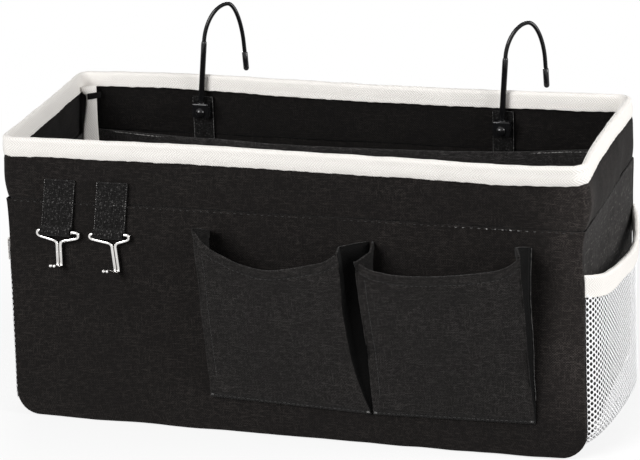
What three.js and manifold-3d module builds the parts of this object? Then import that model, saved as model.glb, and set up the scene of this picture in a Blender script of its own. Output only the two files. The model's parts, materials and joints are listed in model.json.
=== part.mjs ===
// A fabric bedside caddy: a board-stiffened canvas box with a soft collar and a bound rim, two bellows
// pockets on its front, a mesh pocket on each side, two key hooks on tabs and two swivelling wire hooks.
// Millimetres, +Z up, the front face towards -Y. The origin is the middle of the base, on the floor.
import * as THREE from "three";
import { mergeVertices } from "three/addons/utils/BufferGeometryUtils.js";
import Module from "manifold-3d";

const wasm = await Module();
wasm.setup();

// Box
const BODY_WIDTH = 400;
const BODY_DEPTH = 160;
const BODY_HEIGHT = 200;
const CORNER_RADIUS = 17; // lower corners of the front and back panels
const STITCH_DROP = 43; // rim down to the stitched line where the boards end
const COLLAR_RADIUS = 9; // soft upright corners of the collar, on its outer face
const COLLAR_LAP = 10; // how far the collar reaches down inside the walls

// Cloth and board thicknesses
const CANVAS = 1.2;
const BOARD = 2;
const LINING = 1;
const TAPE = 1;
const STRAP = 1.2;
const GAP = 0.3; // between layers that are sewn or riveted together

// Rim binding and the bindings of the inside corners
const BINDING_DROP = 13;
const CORNER_TAPE_WIDTH = 9;
const CORNER_TAPE_THICKNESS = 2;

// Front pockets
const POCKET_DROP = 14.5; // stitched line down to the pockets' sewn top
const POCKET_FLOOR = 22; // floor up to the pockets' lower seam
const POCKET_DEPTH = 24; // how far the mouth stands out
const POCKET_LIP = 0.4; // what is left of that depth at the lower seam
const POCKET_CROWN = 3; // how far the middle of the mouth stands out past its corners
const POCKET_INSET = 36.4; // right edge of the box to the right pocket
const POCKET_SPACE = 3.7; // between the two pockets at the lower seam
const RIGHT_POCKET_WIDTH = 106.6;
const LEFT_POCKET_SAG = 20; // how far the mouth hangs below its corners
const RIGHT_POCKET_SAG = 9;
const LEFT_POCKET_RISE = { left: 11, right: -2 }; // corners of the mouth, above or below the sewn top
const RIGHT_POCKET_RISE = { left: -5, right: 2 };
const LEFT_POCKET_TAPER = { left: 1.5, right: 15 }; // how far the corners draw in from seam to mouth
const RIGHT_POCKET_TAPER = { left: -6, right: 5 };

// Mesh pockets on the two sides
const MESH = 0.9;
const MESH_DROP = 29; // stitched line down to the ends of the pocket's upper edge
const MESH_FLOOR = 4;
const MESH_BULGE = 9;
const MESH_TURN = 24; // height over which the bag turns in at its foot
const MESH_SAG = 15;
const MESH_BINDING_DROP = 15;

// Key tabs and key hooks
const TAB_INSET = 38.5; // left edge of the box to the middle of the first tab
const TAB_PITCH = 36.5;
const TAB_WIDTH = 21;
const TAB_THICKNESS = 2.2;
const TAB_ABOVE = 15.5; // top of the tab above the stitched line
const TAB_BELOW = 20; // middle of its loop below that line
const TAB_TO_POCKET = 65; // middle of the second tab to the left pocket
const TAB_LOOP_WALL = 1.1;
const KEY_WIRE = 2;
const KEY_PLAY = 1.2; // slack of the wire in its loop
const KEY_RING_WIDTH = 29.2; // between the middles of the ring's two sides
const KEY_RING_DROP = 5.2;
const KEY_ARM_FALL = 3.2; // how far each arm slopes down from the ring's side to the stem
const KEY_STEM_FOOT = 26.5; // below the ring's bar
const KEY_STEM_SPACE = 3; // between the middles of the doubled wires
const KEY_HOOK_REACH = 14;
const KEY_HOOK_LIFT = 6; // how far the tips rise above the foot of the stem
const KEY_FOOT_ASIDE = { left: -0.5, right: 2 }; // how far the foot of the stem is bent to the right
const KEY_TIP_ASIDE = { left: 1, right: 5 }; // how far the tips are bent back to the left
const KEY_BEND = 2.6;
const KEY_HOOK_BEND = 5;
const KEY_LEAN = { left: 1, right: 5.5 }; // degrees that each hook hangs aslant

// Hook straps, plates and rivets on the inside of the back wall
const HOOK_INSET = { left: 93, right: 88.5 }; // side of the box to the hook's stem
const STRAP_WIDTH = 14.5;
const STRAP_TUCK = 46; // how far the strap goes down behind the lining
const PLATE_DROP = { left: 16.4, right: 18.6 }; // rim down to the top of the plate
const PLATE_WIDTH = 12;
const PLATE_WALL = 0.9;
const PLATE_NECK = 2; // the lip that holds the wire's headed foot down
const RIVET_SHANK = 2.4;
const RIVET_HEAD = 6.8;
const RIVET_DOME = 2.2;
const RIVET_TAIL = 7;
const RIVET_TAIL_THICKNESS = 0.8;

// Hanging hooks
const WIRE = 3;
const WIRE_HEAD = 5;
const WIRE_HEAD_THICKNESS = 1.6;
const SLIP = 0.2; // between the wire and what is slipped over it
const SKIN = 0.35; // wall of the sleeve and of the cap
const STEM_RISE = 45; // plate up to where the arch springs
const STEM_LEAN = { left: 4.3, right: 3.1 };
const ARCH_WIDTH = 28.7;
const ARCH_HEIGHT = { left: 25.6, right: 23.2 };
const ARCH_PEAK = { left: 18, right: 16.3 }; // from where the arch springs across to its highest point
const ARCH_FALL = 5; // how far below its spring the arch comes down on the other side
const ARCH_FULLNESS = 0.5; // share of the arch's height or width over which it turns
const TIP_FLARE = 1.1;
const TIP_CLEAR = 1.6; // tip of the lower hook above the rim, so that it swings over it
const CAP_LENGTH = 14;
const SLEEVE_STANDOFF = 0.6;
const HOOK_HEADING = 30; // degrees from +X towards +Y, as the hooks stand

// Facets
const ARC_STEPS = 6;
const WIRE_SIDES = 10;
const KEY_SIDES = 8;
const ROUND_SIDES = 16;
const HOOK_STEPS = 56;
const KEY_STEPS = 76;

// Places that several pieces share
const halfWidth = BODY_WIDTH / 2;
const halfDepth = BODY_DEPTH / 2;
const frontFace = -halfDepth;
const stitchHeight = BODY_HEIGHT - STITCH_DROP;
const boardDepth = CANVAS + GAP; // depths are from the box's outer face inwards
const boardTop = stitchHeight - COLLAR_LAP - GAP;
const liningDepth = boardDepth + BOARD + GAP;
const wallDepth = liningDepth + LINING;
const strapDepth = liningDepth;
const backLiningDepth = strapDepth + STRAP + GAP;
const backWallDepth = backLiningDepth + LINING;
const collarInside = boardDepth + CANVAS;
const bindingInside = collarInside + GAP + TAPE;
const bindingFoot = BODY_HEIGHT - BINDING_DROP;
const gussetFront = frontFace + CANVAS + GAP;
const gussetBack = halfDepth - CANVAS - GAP;
const innerFront = frontFace + wallDepth + GAP;
const innerBack = halfDepth - backWallDepth - GAP;
const meshSeat = halfWidth + GAP + TAPE + GAP;
const tabLoopRadius = KEY_WIRE / 2 + KEY_PLAY;
const tabLoopOuter = tabLoopRadius + TAB_LOOP_WALL;
const tabBack = frontFace - GAP;
const keyBarHeight = stitchHeight - TAB_BELOW;
const keyBarPlace = tabBack - tabLoopOuter;
const tabPlaces = {
  left: -halfWidth + TAB_INSET,
  right: -halfWidth + TAB_INSET + TAB_PITCH,
};
const socketRadius = WIRE_HEAD / 2 + GAP;
const plateDepth = 2 * (socketRadius + PLATE_WALL);
const plateBack = halfDepth - backLiningDepth;
const plateFront = plateBack - plateDepth;
const stemPlace = (plateBack + plateFront) / 2;
const socketFoot = PLATE_NECK + WIRE_HEAD_THICKNESS + 2 * GAP; // below the plate's top
const rivetDrop = socketFoot + PLATE_WALL + RIVET_SHANK / 2 + GAP;
const plateHeight = rivetDrop + RIVET_HEAD / 2 + PLATE_WALL;
const sleeveRadius = WIRE / 2 + SLIP + SKIN;
// Where each hook's stem leaves the top of its plate
const hookPlaces = {
  left: new THREE.Vector3(-halfWidth + HOOK_INSET.left, stemPlace, BODY_HEIGHT - PLATE_DROP.left),
  right: new THREE.Vector3(halfWidth - HOOK_INSET.right, stemPlace, BODY_HEIGHT - PLATE_DROP.right),
};

// Materials
function finish(color, roughness, metalness = 0) {
  return new THREE.MeshStandardMaterial({ color, roughness, metalness });
}
const canvasBlack = finish(0x1f1d1f, 0.95);
const liningBlack = finish(0x2a292b, 0.95);
const boardGrey = finish(0x6d675e, 0.9);
const tapeWhite = finish(0xe9e5df, 0.9);
const meshWhite = finish(0xf1f1f0, 0.85);
const webbingBlack = finish(0x171618, 0.9);
const plasticBlack = finish(0x0b0b0c, 0.25);
const wireBlack = finish(0x0a0a0b, 0.3);
const nickel = finish(0xc9c6c1, 0.25, 1);

const caddy = new THREE.Group();

function addPiece(name, geometry, material, parent = caddy) {
  const piece = new THREE.Mesh(geometry, material);
  piece.name = name;
  parent.add(piece);
  return piece;
}

// Turns the faces of a closed geometry outwards.
function facingOut(geometry) {
  const points = geometry.getAttribute("position");
  const index = geometry.index.array;
  const [a, b, c] = [new THREE.Vector3(), new THREE.Vector3(), new THREE.Vector3()];
  let volume = 0;
  for (let i = 0; i < index.length; i += 3) {
    a.fromBufferAttribute(points, index[i]);
    b.fromBufferAttribute(points, index[i + 1]);
    c.fromBufferAttribute(points, index[i + 2]);
    volume += a.dot(b.cross(c));
  }
  if (volume < 0) {
    for (let i = 0; i < index.length; i += 3) {
      [index[i + 1], index[i + 2]] = [index[i + 2], index[i + 1]];
    }
  }
  return geometry;
}

// A closed skin through rings that all run the same way round. The flat outline of one ring, in any
// two coordinates that keep its corners in order, gives the triangles of the two end caps.
function loft(rings, outline) {
  const count = rings[0].length;
  const index = [];
  for (let i = 0; i < rings.length - 1; i++) {
    for (let j = 0; j < count; j++) {
      const here = i * count;
      const next = here + count;
      const k = (j + 1) % count;
      index.push(here + j, next + j, next + k, here + j, next + k, here + k);
    }
  }
  const turn = THREE.ShapeUtils.isClockWise(outline) ? -1 : 1;
  const flat = outline.map((p) => new THREE.Vector2(turn * p.x, p.y));
  const end = (rings.length - 1) * count;
  for (const [p, q, r] of THREE.ShapeUtils.triangulateShape(flat, [])) {
    index.push(p, q, r, end + p, end + r, end + q);
  }
  const positions = rings.flat().flatMap((p) => [p.x, p.y, p.z]);
  const geometry = new THREE.BufferGeometry();
  geometry.setAttribute("position", new THREE.Float32BufferAttribute(positions, 3));
  geometry.setIndex(index);
  return facingOut(geometry);
}

// Solids that are joined and cut
function solid(geometry) {
  const bare = new THREE.BufferGeometry();
  bare.setAttribute("position", geometry.getAttribute("position"));
  bare.setIndex(geometry.index);
  const merged = mergeVertices(bare, 1e-4);
  const corners = [];
  for (let i = 0; i < merged.index.count; i += 3) {
    const [a, b, c] = merged.index.array.slice(i, i + 3);
    if (a !== b && b !== c && c !== a) corners.push(a, b, c);
  }
  const vertProperties = merged.getAttribute("position").array;
  const triVerts = new Uint32Array(corners);
  return new wasm.Manifold(new wasm.Mesh({ numProp: 3, vertProperties, triVerts }));
}

function geometryOf(body) {
  const { vertProperties, triVerts } = body.getMesh();
  const geometry = new THREE.BufferGeometry();
  geometry.setAttribute("position", new THREE.BufferAttribute(vertProperties, 3));
  geometry.setIndex(new THREE.BufferAttribute(triVerts, 1));
  return geometry;
}

function cut(base, ...tools) {
  return geometryOf(tools.reduce((body, tool) => body.subtract(solid(tool)), solid(base)));
}

function join(base, extra) {
  return geometryOf(solid(base).add(solid(extra)));
}

// Extrusions of an outline drawn in X and Z, in Y and Z, or in X and Y
function extrude(shape, depth) {
  return new THREE.ExtrudeGeometry(shape, { depth, bevelEnabled: false, curveSegments: ARC_STEPS });
}

function extrudeAlongY(shape, from, to) {
  return extrude(shape, to - from).rotateX(Math.PI / 2).translate(0, to, 0);
}

function extrudeAlongX(shape, from, to) {
  const turn = new THREE.Matrix4().makeBasis(
    new THREE.Vector3(0, 1, 0),
    new THREE.Vector3(0, 0, 1),
    new THREE.Vector3(1, 0, 0),
  );
  return extrude(shape, to - from).applyMatrix4(turn).translate(from, 0, 0);
}

function extrudeAlongZ(shape, from, to) {
  return extrude(shape, to - from).translate(0, 0, from);
}

function block(x0, x1, y0, y1, z0, z1) {
  const box = new THREE.BoxGeometry(x1 - x0, y1 - y0, z1 - z0);
  return box.translate((x0 + x1) / 2, (y0 + y1) / 2, (z0 + z1) / 2);
}

function roundBar(radius, low, high) {
  const bar = new THREE.CylinderGeometry(radius, radius, high - low, ROUND_SIDES);
  return bar.translate(0, (low + high) / 2, 0);
}

// A panel outline with two rounded lower corners
function panelShape(half, low, high, radius) {
  const shape = new THREE.Shape();
  shape.moveTo(half, high);
  shape.lineTo(-half, high);
  shape.lineTo(-half, low + radius);
  shape.absarc(-half + radius, low + radius, radius, Math.PI, 1.5 * Math.PI);
  shape.lineTo(half - radius, low);
  shape.absarc(half - radius, low + radius, radius, 1.5 * Math.PI, 2 * Math.PI);
  shape.closePath();
  return shape;
}

// The end view of a strip that runs down one side, along the base and up the other side
function gussetShape(half, low, high, radius, thickness) {
  const shape = new THREE.Shape();
  shape.moveTo(-half, high);
  shape.lineTo(-half, low + radius);
  shape.absarc(-half + radius, low + radius, radius, Math.PI, 1.5 * Math.PI);
  shape.lineTo(half - radius, low);
  shape.absarc(half - radius, low + radius, radius, 1.5 * Math.PI, 2 * Math.PI);
  shape.lineTo(half, high);
  shape.lineTo(half - thickness, high);
  shape.lineTo(half - thickness, low + radius);
  shape.absarc(half - radius, low + radius, radius - thickness, 0, -Math.PI / 2, true);
  shape.lineTo(-half + radius, low + thickness);
  shape.absarc(-half + radius, low + radius, radius - thickness, -Math.PI / 2, -Math.PI, true);
  shape.closePath();
  return shape;
}

// A rectangle with rounded corners whose faces lie at a depth inside the box's outer faces
function rimPath(depth) {
  const x = halfWidth - depth;
  const y = halfDepth - depth;
  const radius = COLLAR_RADIUS + boardDepth - depth;
  const path = new THREE.Shape();
  path.absarc(x - radius, y - radius, radius, 0, Math.PI / 2);
  path.absarc(-x + radius, y - radius, radius, Math.PI / 2, Math.PI);
  path.absarc(-x + radius, -y + radius, radius, Math.PI, 1.5 * Math.PI);
  path.absarc(x - radius, -y + radius, radius, 1.5 * Math.PI, 2 * Math.PI);
  path.closePath();
  return path;
}

function rimBand(outerDepth, innerDepth, low, high) {
  const shape = rimPath(outerDepth);
  shape.holes.push(rimPath(innerDepth));
  return extrudeAlongZ(shape, low, high);
}

// Outer canvas
function addShell() {
  const panel = panelShape(halfWidth, 0, stitchHeight, CORNER_RADIUS);
  addPiece("front_panel", extrudeAlongY(panel, frontFace, frontFace + CANVAS), canvasBlack);
  addPiece("back_panel", extrudeAlongY(panel, halfDepth - CANVAS, halfDepth), canvasBlack);
  const strip = gussetShape(halfWidth, 0, stitchHeight, CORNER_RADIUS, CANVAS);
  addPiece("side_gusset", extrudeAlongY(strip, gussetFront, gussetBack), canvasBlack);
}

// The collar stands inside the walls, with a hole for each hook's rivet.
function addCollar() {
  const band = rimBand(boardDepth, collarInside, stitchHeight - COLLAR_LAP, BODY_HEIGHT - TAPE - GAP);
  const holes = Object.values(hookPlaces).map((place) => rivetHole(place));
  addPiece("collar", cut(band, ...holes), canvasBlack);
}

function addRimBinding() {
  const outside = boardDepth - GAP - TAPE;
  const tape = rimBand(outside, bindingInside, bindingFoot, BODY_HEIGHT);
  const channel = rimBand(boardDepth - GAP, collarInside + GAP, bindingFoot - TAPE, BODY_HEIGHT - TAPE);
  addPiece("rim_binding", cut(tape, channel), tapeWhite);
}

// Stiffening boards between canvas and lining
function addBoards() {
  const half = halfWidth - boardDepth;
  const wall = panelShape(half, boardDepth, boardTop, CORNER_RADIUS - boardDepth);
  addPiece(
    "front_board",
    extrudeAlongY(wall, frontFace + boardDepth, frontFace + boardDepth + BOARD),
    boardGrey,
  );
  addPiece(
    "back_board",
    extrudeAlongY(wall, halfDepth - boardDepth - BOARD, halfDepth - boardDepth),
    boardGrey,
  );
  const side = [innerFront, innerBack, CORNER_RADIUS, boardTop];
  addPiece("left_board", block(-half, -half + BOARD, ...side), boardGrey);
  addPiece("right_board", block(half - BOARD, half, ...side), boardGrey);
  const baseHalf = halfWidth - CORNER_RADIUS;
  const base = block(-baseHalf, baseHalf, innerFront, innerBack, boardDepth, boardDepth + BOARD);
  addPiece("base_board", base, boardGrey);
}

// The linings are notched at their upper corners, where the collar's soft corners cut across.
function addLinings() {
  const half = halfWidth - boardDepth;
  const wall = panelShape(half, boardDepth, stitchHeight, CORNER_RADIUS - boardDepth);
  const front = frontFace + liningDepth;
  const back = halfDepth - backLiningDepth;
  const radius = CORNER_RADIUS - liningDepth;
  const strip = gussetShape(halfWidth - liningDepth, liningDepth, stitchHeight, radius, LINING);
  const notches = [];
  for (const side of [-1, 1]) {
    for (const face of [-1, 1]) {
      const size = 2 * (boardDepth + COLLAR_RADIUS);
      const notch = new THREE.BoxGeometry(size, size, 2 * (stitchHeight - boardTop));
      notches.push(notch.translate(side * halfWidth, face * halfDepth, stitchHeight));
    }
  }
  addPiece("front_lining", cut(extrudeAlongY(wall, front, front + LINING), ...notches), liningBlack);
  addPiece("back_lining", cut(extrudeAlongY(wall, back - LINING, back), ...notches), liningBlack);
  addPiece("gusset_lining", cut(extrudeAlongY(strip, innerFront, innerBack), ...notches), liningBlack);
}

// Tape over the seam in each inside corner, lying along the front or the back wall
function addCornerBindings() {
  const outer = halfWidth - wallDepth - GAP;
  const inner = outer - CORNER_TAPE_WIDTH;
  const low = CORNER_RADIUS + wallDepth;
  const high = bindingFoot - GAP;
  const walls = {
    front: [innerFront, innerFront + CORNER_TAPE_THICKNESS],
    back: [innerBack - CORNER_TAPE_THICKNESS, innerBack],
  };
  for (const [wall, span] of Object.entries(walls)) {
    addPiece(`corner_binding_${wall}_left`, block(-outer, -inner, ...span, low, high), tapeWhite);
    addPiece(`corner_binding_${wall}_right`, block(inner, outer, ...span, low, high), tapeWhite);
  }
}

// One bellows pocket. Its cloth leaves the wall at one seam, crosses the front and returns to the other
// seam; the plan opens from the lower seam up to the mouth, which hangs between its two corners.
function pocketGeometry({ left, right, taper, rise, sag }) {
  const top = stitchHeight - POCKET_DROP;
  const acrossSteps = 8;
  const upSteps = 6;
  const stations = [{ side: -1, out: 0 }, { side: -1, out: 0.5 }];
  for (let i = 0; i <= acrossSteps; i++) stations.push({ across: i / acrossSteps, out: 1 });
  stations.push({ side: 1, out: 0.5 }, { side: 1, out: 0 });

  const mouthHeight = ({ side, across, out }) => {
    if (side < 0) return top + rise.left * out;
    if (side > 0) return top + rise.right * out;
    const straight = THREE.MathUtils.lerp(rise.left, rise.right, across);
    return top + straight - sag * Math.sin(Math.PI * across);
  };
  const point = (station, share, skin) => {
    const { side, across, out } = station;
    const height = THREE.MathUtils.lerp(POCKET_FLOOR, mouthHeight(station), share);
    const open = (height - POCKET_FLOOR) / (top - POCKET_FLOOR);
    const place = across ?? (side + 1) / 2;
    const crown = across === undefined ? 0 : POCKET_CROWN * open * Math.sin(Math.PI * across);
    const depth = THREE.MathUtils.lerp(POCKET_LIP, POCKET_DEPTH, open) + crown + skin;
    const x0 = left + taper.left * open * out - skin;
    const x1 = right - taper.right * open * out + skin;
    return new THREE.Vector3(THREE.MathUtils.lerp(x0, x1, place), tabBack - depth * out, height);
  };
  const ups = Array.from({ length: upSteps + 1 }, (_, k) => k / upSteps);
  const rings = stations.map((station) => [
    ...ups.map((share) => point(station, share, CANVAS)),
    ...ups.toReversed().map((share) => point(station, share, 0)),
  ]);
  const outline = [
    ...ups.map((share) => new THREE.Vector2(1, share)),
    ...ups.toReversed().map((share) => new THREE.Vector2(0, share)),
  ];
  return loft(rings, outline);
}

function addFrontPockets() {
  const rightEnd = halfWidth - POCKET_INSET;
  const rightStart = rightEnd - RIGHT_POCKET_WIDTH;
  const leftPocket = {
    left: tabPlaces.right + TAB_TO_POCKET,
    right: rightStart - POCKET_SPACE,
    taper: LEFT_POCKET_TAPER,
    rise: LEFT_POCKET_RISE,
    sag: LEFT_POCKET_SAG,
  };
  const rightPocket = {
    left: rightStart,
    right: rightEnd,
    taper: RIGHT_POCKET_TAPER,
    rise: RIGHT_POCKET_RISE,
    sag: RIGHT_POCKET_SAG,
  };
  addPiece("front_pocket_left", pocketGeometry(leftPocket), canvasBlack);
  addPiece("front_pocket_right", pocketGeometry(rightPocket), canvasBlack);
}

// A mesh pocket bellies out from the side wall and turns in at its foot. Its upper edge sags in the
// middle and is bound with tape. Both are made on the right and mirrored for the left.
const meshSteps = 12;
const meshStations = Array.from({ length: meshSteps + 1 }, (_, i) => {
  const reach = gussetBack;
  const y = THREE.MathUtils.lerp(-reach, reach, i / meshSteps);
  const fullness = 1 - (y / reach) ** 2;
  return { y, bulge: MESH_BULGE * fullness, top: stitchHeight - MESH_DROP - MESH_SAG * fullness };
});

function meshPocketGeometry(side) {
  const turnSteps = 5;
  const upSteps = 3;
  const shares = [];
  for (let i = 0; i <= turnSteps; i++) shares.push({ angle: (i / turnSteps) * (Math.PI / 2), up: 0 });
  for (let i = 1; i <= upSteps; i++) shares.push({ angle: Math.PI / 2, up: i / upSteps });
  const point = ({ y, bulge, top }, { angle, up }, skin) => {
    const turned = MESH_FLOOR + MESH_TURN - (MESH_TURN + skin) * Math.cos(angle);
    const z = THREE.MathUtils.lerp(turned, top, up);
    return new THREE.Vector3(side * (meshSeat + (bulge + skin) * Math.sin(angle)), y, z);
  };
  const rings = meshStations.map((station) => [
    ...shares.map((share) => point(station, share, MESH)),
    ...shares.toReversed().map((share) => point(station, share, 0)),
  ]);
  const outline = [
    ...shares.map((_, i) => new THREE.Vector2(1, i)),
    ...shares.map((_, i) => new THREE.Vector2(0, shares.length - 1 - i)),
  ];
  return loft(rings, outline);
}

function meshBindingGeometry(side) {
  const rings = meshStations.map(({ y, bulge, top }) => {
    const inner = meshSeat + bulge - GAP;
    const outer = meshSeat + bulge + MESH + GAP;
    const foot = top - MESH_BINDING_DROP;
    const corners = [
      [inner - TAPE, foot],
      [inner, foot],
      [inner, top + GAP],
      [outer, top + GAP],
      [outer, foot],
      [outer + TAPE, foot],
      [outer + TAPE, top + GAP + TAPE],
      [inner - TAPE, top + GAP + TAPE],
    ];
    return corners.map(([x, z]) => new THREE.Vector3(side * x, y, z));
  });
  return loft(rings, rings[0].map(({ x, z }) => new THREE.Vector2(x, z)));
}

function addMeshPockets() {
  for (const [name, side] of [["left", -1], ["right", 1]]) {
    addPiece(`mesh_pocket_${name}`, meshPocketGeometry(side), meshWhite);
    addPiece(`mesh_binding_${name}`, meshBindingGeometry(side), tapeWhite);
  }
}

// A key tab in side view: a strap on the wall with a loop at its lower end
function tabShape() {
  const top = stitchHeight + TAB_ABOVE;
  const shape = new THREE.Shape();
  const meet = Math.acos((tabLoopOuter - TAB_THICKNESS) / tabLoopOuter);
  shape.moveTo(tabBack, top);
  shape.lineTo(tabBack, keyBarHeight);
  shape.absarc(keyBarPlace, keyBarHeight, tabLoopOuter, 0, meet - 2 * Math.PI, true);
  shape.lineTo(tabBack - TAB_THICKNESS, top);
  shape.closePath();
  const eye = new THREE.Path();
  eye.absarc(keyBarPlace, keyBarHeight, tabLoopRadius, 0, 2 * Math.PI);
  shape.holes.push(eye);
  return shape;
}

// A wire's centre line: straight runs with a rounded bend at each inner point
function wirePath(points, bends) {
  const path = new THREE.CurvePath();
  const mostOfRun = 0.45;
  let start = points[0];
  for (let i = 1; i < points.length - 1; i++) {
    const [before, corner, after] = points.slice(i - 1, i + 2);
    const inShare = Math.min(mostOfRun, bends[i] / corner.distanceTo(before));
    const outShare = Math.min(mostOfRun, bends[i] / corner.distanceTo(after));
    const into = corner.clone().lerp(before, inShare);
    const out = corner.clone().lerp(after, outShare);
    path.add(new THREE.LineCurve3(start, into));
    path.add(new THREE.QuadraticBezierCurve3(into, corner, out));
    start = out;
  }
  path.add(new THREE.LineCurve3(start, points.at(-1)));
  return path;
}

function wire(path, diameter, sides, steps) {
  const corners = Array.from({ length: sides }, (_, i) => {
    const angle = (2 * Math.PI * i) / sides;
    return new THREE.Vector2(Math.cos(angle), Math.sin(angle)).multiplyScalar(diameter / 2);
  });
  const section = new THREE.Shape(corners);
  return new THREE.ExtrudeGeometry(section, { steps, extrudePath: path, bevelEnabled: false });
}

// A key hook is one bent wire: a ring whose bar the tab holds, and a doubled stem that ends in a hook.
// Its frame has the bar's middle at the origin.
function keyHookGeometry(name) {
  const ring = KEY_RING_WIDTH / 2;
  const stem = KEY_STEM_SPACE / 2;
  const foot = KEY_FOOT_ASIDE[name];
  const tip = foot - KEY_TIP_ASIDE[name];
  const half = (side) => [
    { at: [side * ring, 0, 0], bend: KEY_BEND },
    { at: [side * ring, 0, -KEY_RING_DROP], bend: KEY_BEND },
    { at: [side * stem, 0, -KEY_RING_DROP - KEY_ARM_FALL], bend: KEY_BEND },
    { at: [side * stem + foot, 0, -KEY_STEM_FOOT], bend: KEY_HOOK_BEND },
    { at: [side * stem + tip, -KEY_HOOK_REACH, KEY_HOOK_LIFT - KEY_STEM_FOOT], bend: 0 },
  ];
  const route = [...half(-1).toReversed(), ...half(1)];
  const points = route.map(({ at }) => new THREE.Vector3(...at));
  const path = wirePath(points, route.map(({ bend }) => bend));
  return wire(path, KEY_WIRE, KEY_SIDES, KEY_STEPS);
}

function addKeyHooks() {
  for (const [name, x] of Object.entries(tabPlaces)) {
    const tab = extrudeAlongX(tabShape(), x - TAB_WIDTH / 2, x + TAB_WIDTH / 2);
    addPiece(`key_tab_${name}`, tab, webbingBlack);
    const hanging = new THREE.Group();
    hanging.position.set(x, keyBarPlace, keyBarHeight);
    hanging.rotation.y = THREE.MathUtils.degToRad(-KEY_LEAN[name]);
    caddy.add(hanging);
    addPiece(`key_hook_${name}`, keyHookGeometry(name), nickel, hanging);
  }
}

// The rivet's way through plate, strap and collar
function rivetHole(place) {
  const reach = plateFront - RIVET_DOME - GAP;
  return roundBar(RIVET_SHANK / 2 + GAP, reach, halfDepth).translate(place.x, 0, place.z - rivetDrop);
}

// A dome in front of the plate, a shank, and a flat tail behind the collar
function rivetGeometry() {
  const seat = plateFront - GAP;
  const tail = halfDepth - boardDepth + GAP;
  const domeSteps = 5;
  const profile = [];
  for (let i = 0; i <= domeSteps; i++) {
    const angle = (i / domeSteps) * (Math.PI / 2);
    const radius = (RIVET_HEAD / 2) * Math.sin(angle);
    profile.push(new THREE.Vector2(radius, seat - RIVET_DOME * Math.cos(angle)));
  }
  profile.push(
    new THREE.Vector2(RIVET_SHANK / 2, seat),
    new THREE.Vector2(RIVET_SHANK / 2, tail),
    new THREE.Vector2(RIVET_TAIL / 2, tail),
    new THREE.Vector2(RIVET_TAIL / 2, tail + RIVET_TAIL_THICKNESS),
    new THREE.Vector2(0, tail + RIVET_TAIL_THICKNESS),
  );
  return facingOut(new THREE.LatheGeometry(profile, ROUND_SIDES));
}

// The plate is a block with an upright socket for the wire's headed foot.
function plateGeometry(place) {
  const half = PLATE_WIDTH / 2;
  const body = block(-half, half, plateFront - stemPlace, plateBack - stemPlace, -plateHeight, 0);
  const upright = (radius, low, high) => roundBar(radius, low, high).rotateX(Math.PI / 2);
  const neck = upright(WIRE / 2 + GAP, -socketFoot, GAP);
  const socket = upright(socketRadius, -socketFoot, -PLATE_NECK);
  const [plate, ...hollows] = [body, neck, socket].map((part) => part.translate(place.x, place.y, place.z));
  return cut(plate, ...hollows, rivetHole(place));
}

function strapGeometry(place) {
  const { x } = place;
  const back = halfDepth - strapDepth;
  const half = STRAP_WIDTH / 2;
  const low = stitchHeight - STRAP_TUCK;
  const band = block(x - half, x + half, back - STRAP, back, low, bindingFoot - GAP);
  return cut(band, rivetHole(place));
}

// A hanging hook in its own frame: the stem's axis is Z, with the plate's top at height 0, and the arch
// goes over towards +X from its foot to its end, above the tip.
const tipRise = Math.max(...Object.values(PLATE_DROP)) + TIP_CLEAR;
const stemStart = new THREE.Vector3(0, 0, SLEEVE_STANDOFF);

function hookLine(name) {
  const foot = new THREE.Vector3(STEM_LEAN[name], 0, STEM_RISE);
  const peak = new THREE.Vector3(foot.x + ARCH_PEAK[name], 0, foot.z + ARCH_HEIGHT[name]);
  const end = new THREE.Vector3(foot.x + ARCH_WIDTH, 0, foot.z - ARCH_FALL);
  const tip = new THREE.Vector3(end.x + TIP_FLARE, 0, tipRise);
  return { foot, peak, end, tip };
}

// Half of the arch, from one of its two ends to its peak. It leaves that end in line with the leg below.
function archHalf(legStart, end, peak) {
  const rise = end.clone().sub(legStart).setLength(ARCH_FULLNESS * (peak.z - end.z));
  const shoulder = new THREE.Vector3(ARCH_FULLNESS * (end.x - peak.x), 0, 0).add(peak);
  return [end, rise.add(end), shoulder, peak];
}

function hookWireGeometry({ foot, peak, end, tip }) {
  const headTop = -PLATE_NECK - GAP;
  const headFoot = headTop - WIRE_HEAD_THICKNESS;
  const capFloor = tip.clone().lerp(end, (SKIN + SLIP + WIRE / 2) / tip.distanceTo(end));
  const path = new THREE.CurvePath();
  path.add(new THREE.LineCurve3(new THREE.Vector3(0, 0, headFoot + GAP), stemStart));
  path.add(new THREE.LineCurve3(stemStart, foot));
  path.add(new THREE.CubicBezierCurve3(...archHalf(stemStart, foot, peak)));
  path.add(new THREE.CubicBezierCurve3(...archHalf(tip, end, peak).toReversed()));
  path.add(new THREE.LineCurve3(end, capFloor));
  const head = roundBar(WIRE_HEAD / 2, headFoot, headTop).rotateX(Math.PI / 2);
  return join(wire(path, WIRE, WIRE_SIDES, HOOK_STEPS), head);
}

// Turns a lathe made along +Y so that it runs from one point towards another.
function along(geometry, from, to) {
  const direction = to.clone().sub(from).normalize();
  const turn = new THREE.Quaternion().setFromUnitVectors(new THREE.Vector3(0, 1, 0), direction);
  return geometry.applyQuaternion(turn).translate(from.x, from.y, from.z);
}

function sleeveGeometry({ foot }) {
  const length = stemStart.distanceTo(foot);
  const inner = WIRE / 2 + SLIP;
  const profile = [
    new THREE.Vector2(inner, 0),
    new THREE.Vector2(sleeveRadius, 0),
    new THREE.Vector2(sleeveRadius, length),
    new THREE.Vector2(inner, length),
    new THREE.Vector2(inner, 0),
  ];
  return along(facingOut(new THREE.LatheGeometry(profile, ROUND_SIDES)), stemStart, foot);
}

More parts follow.
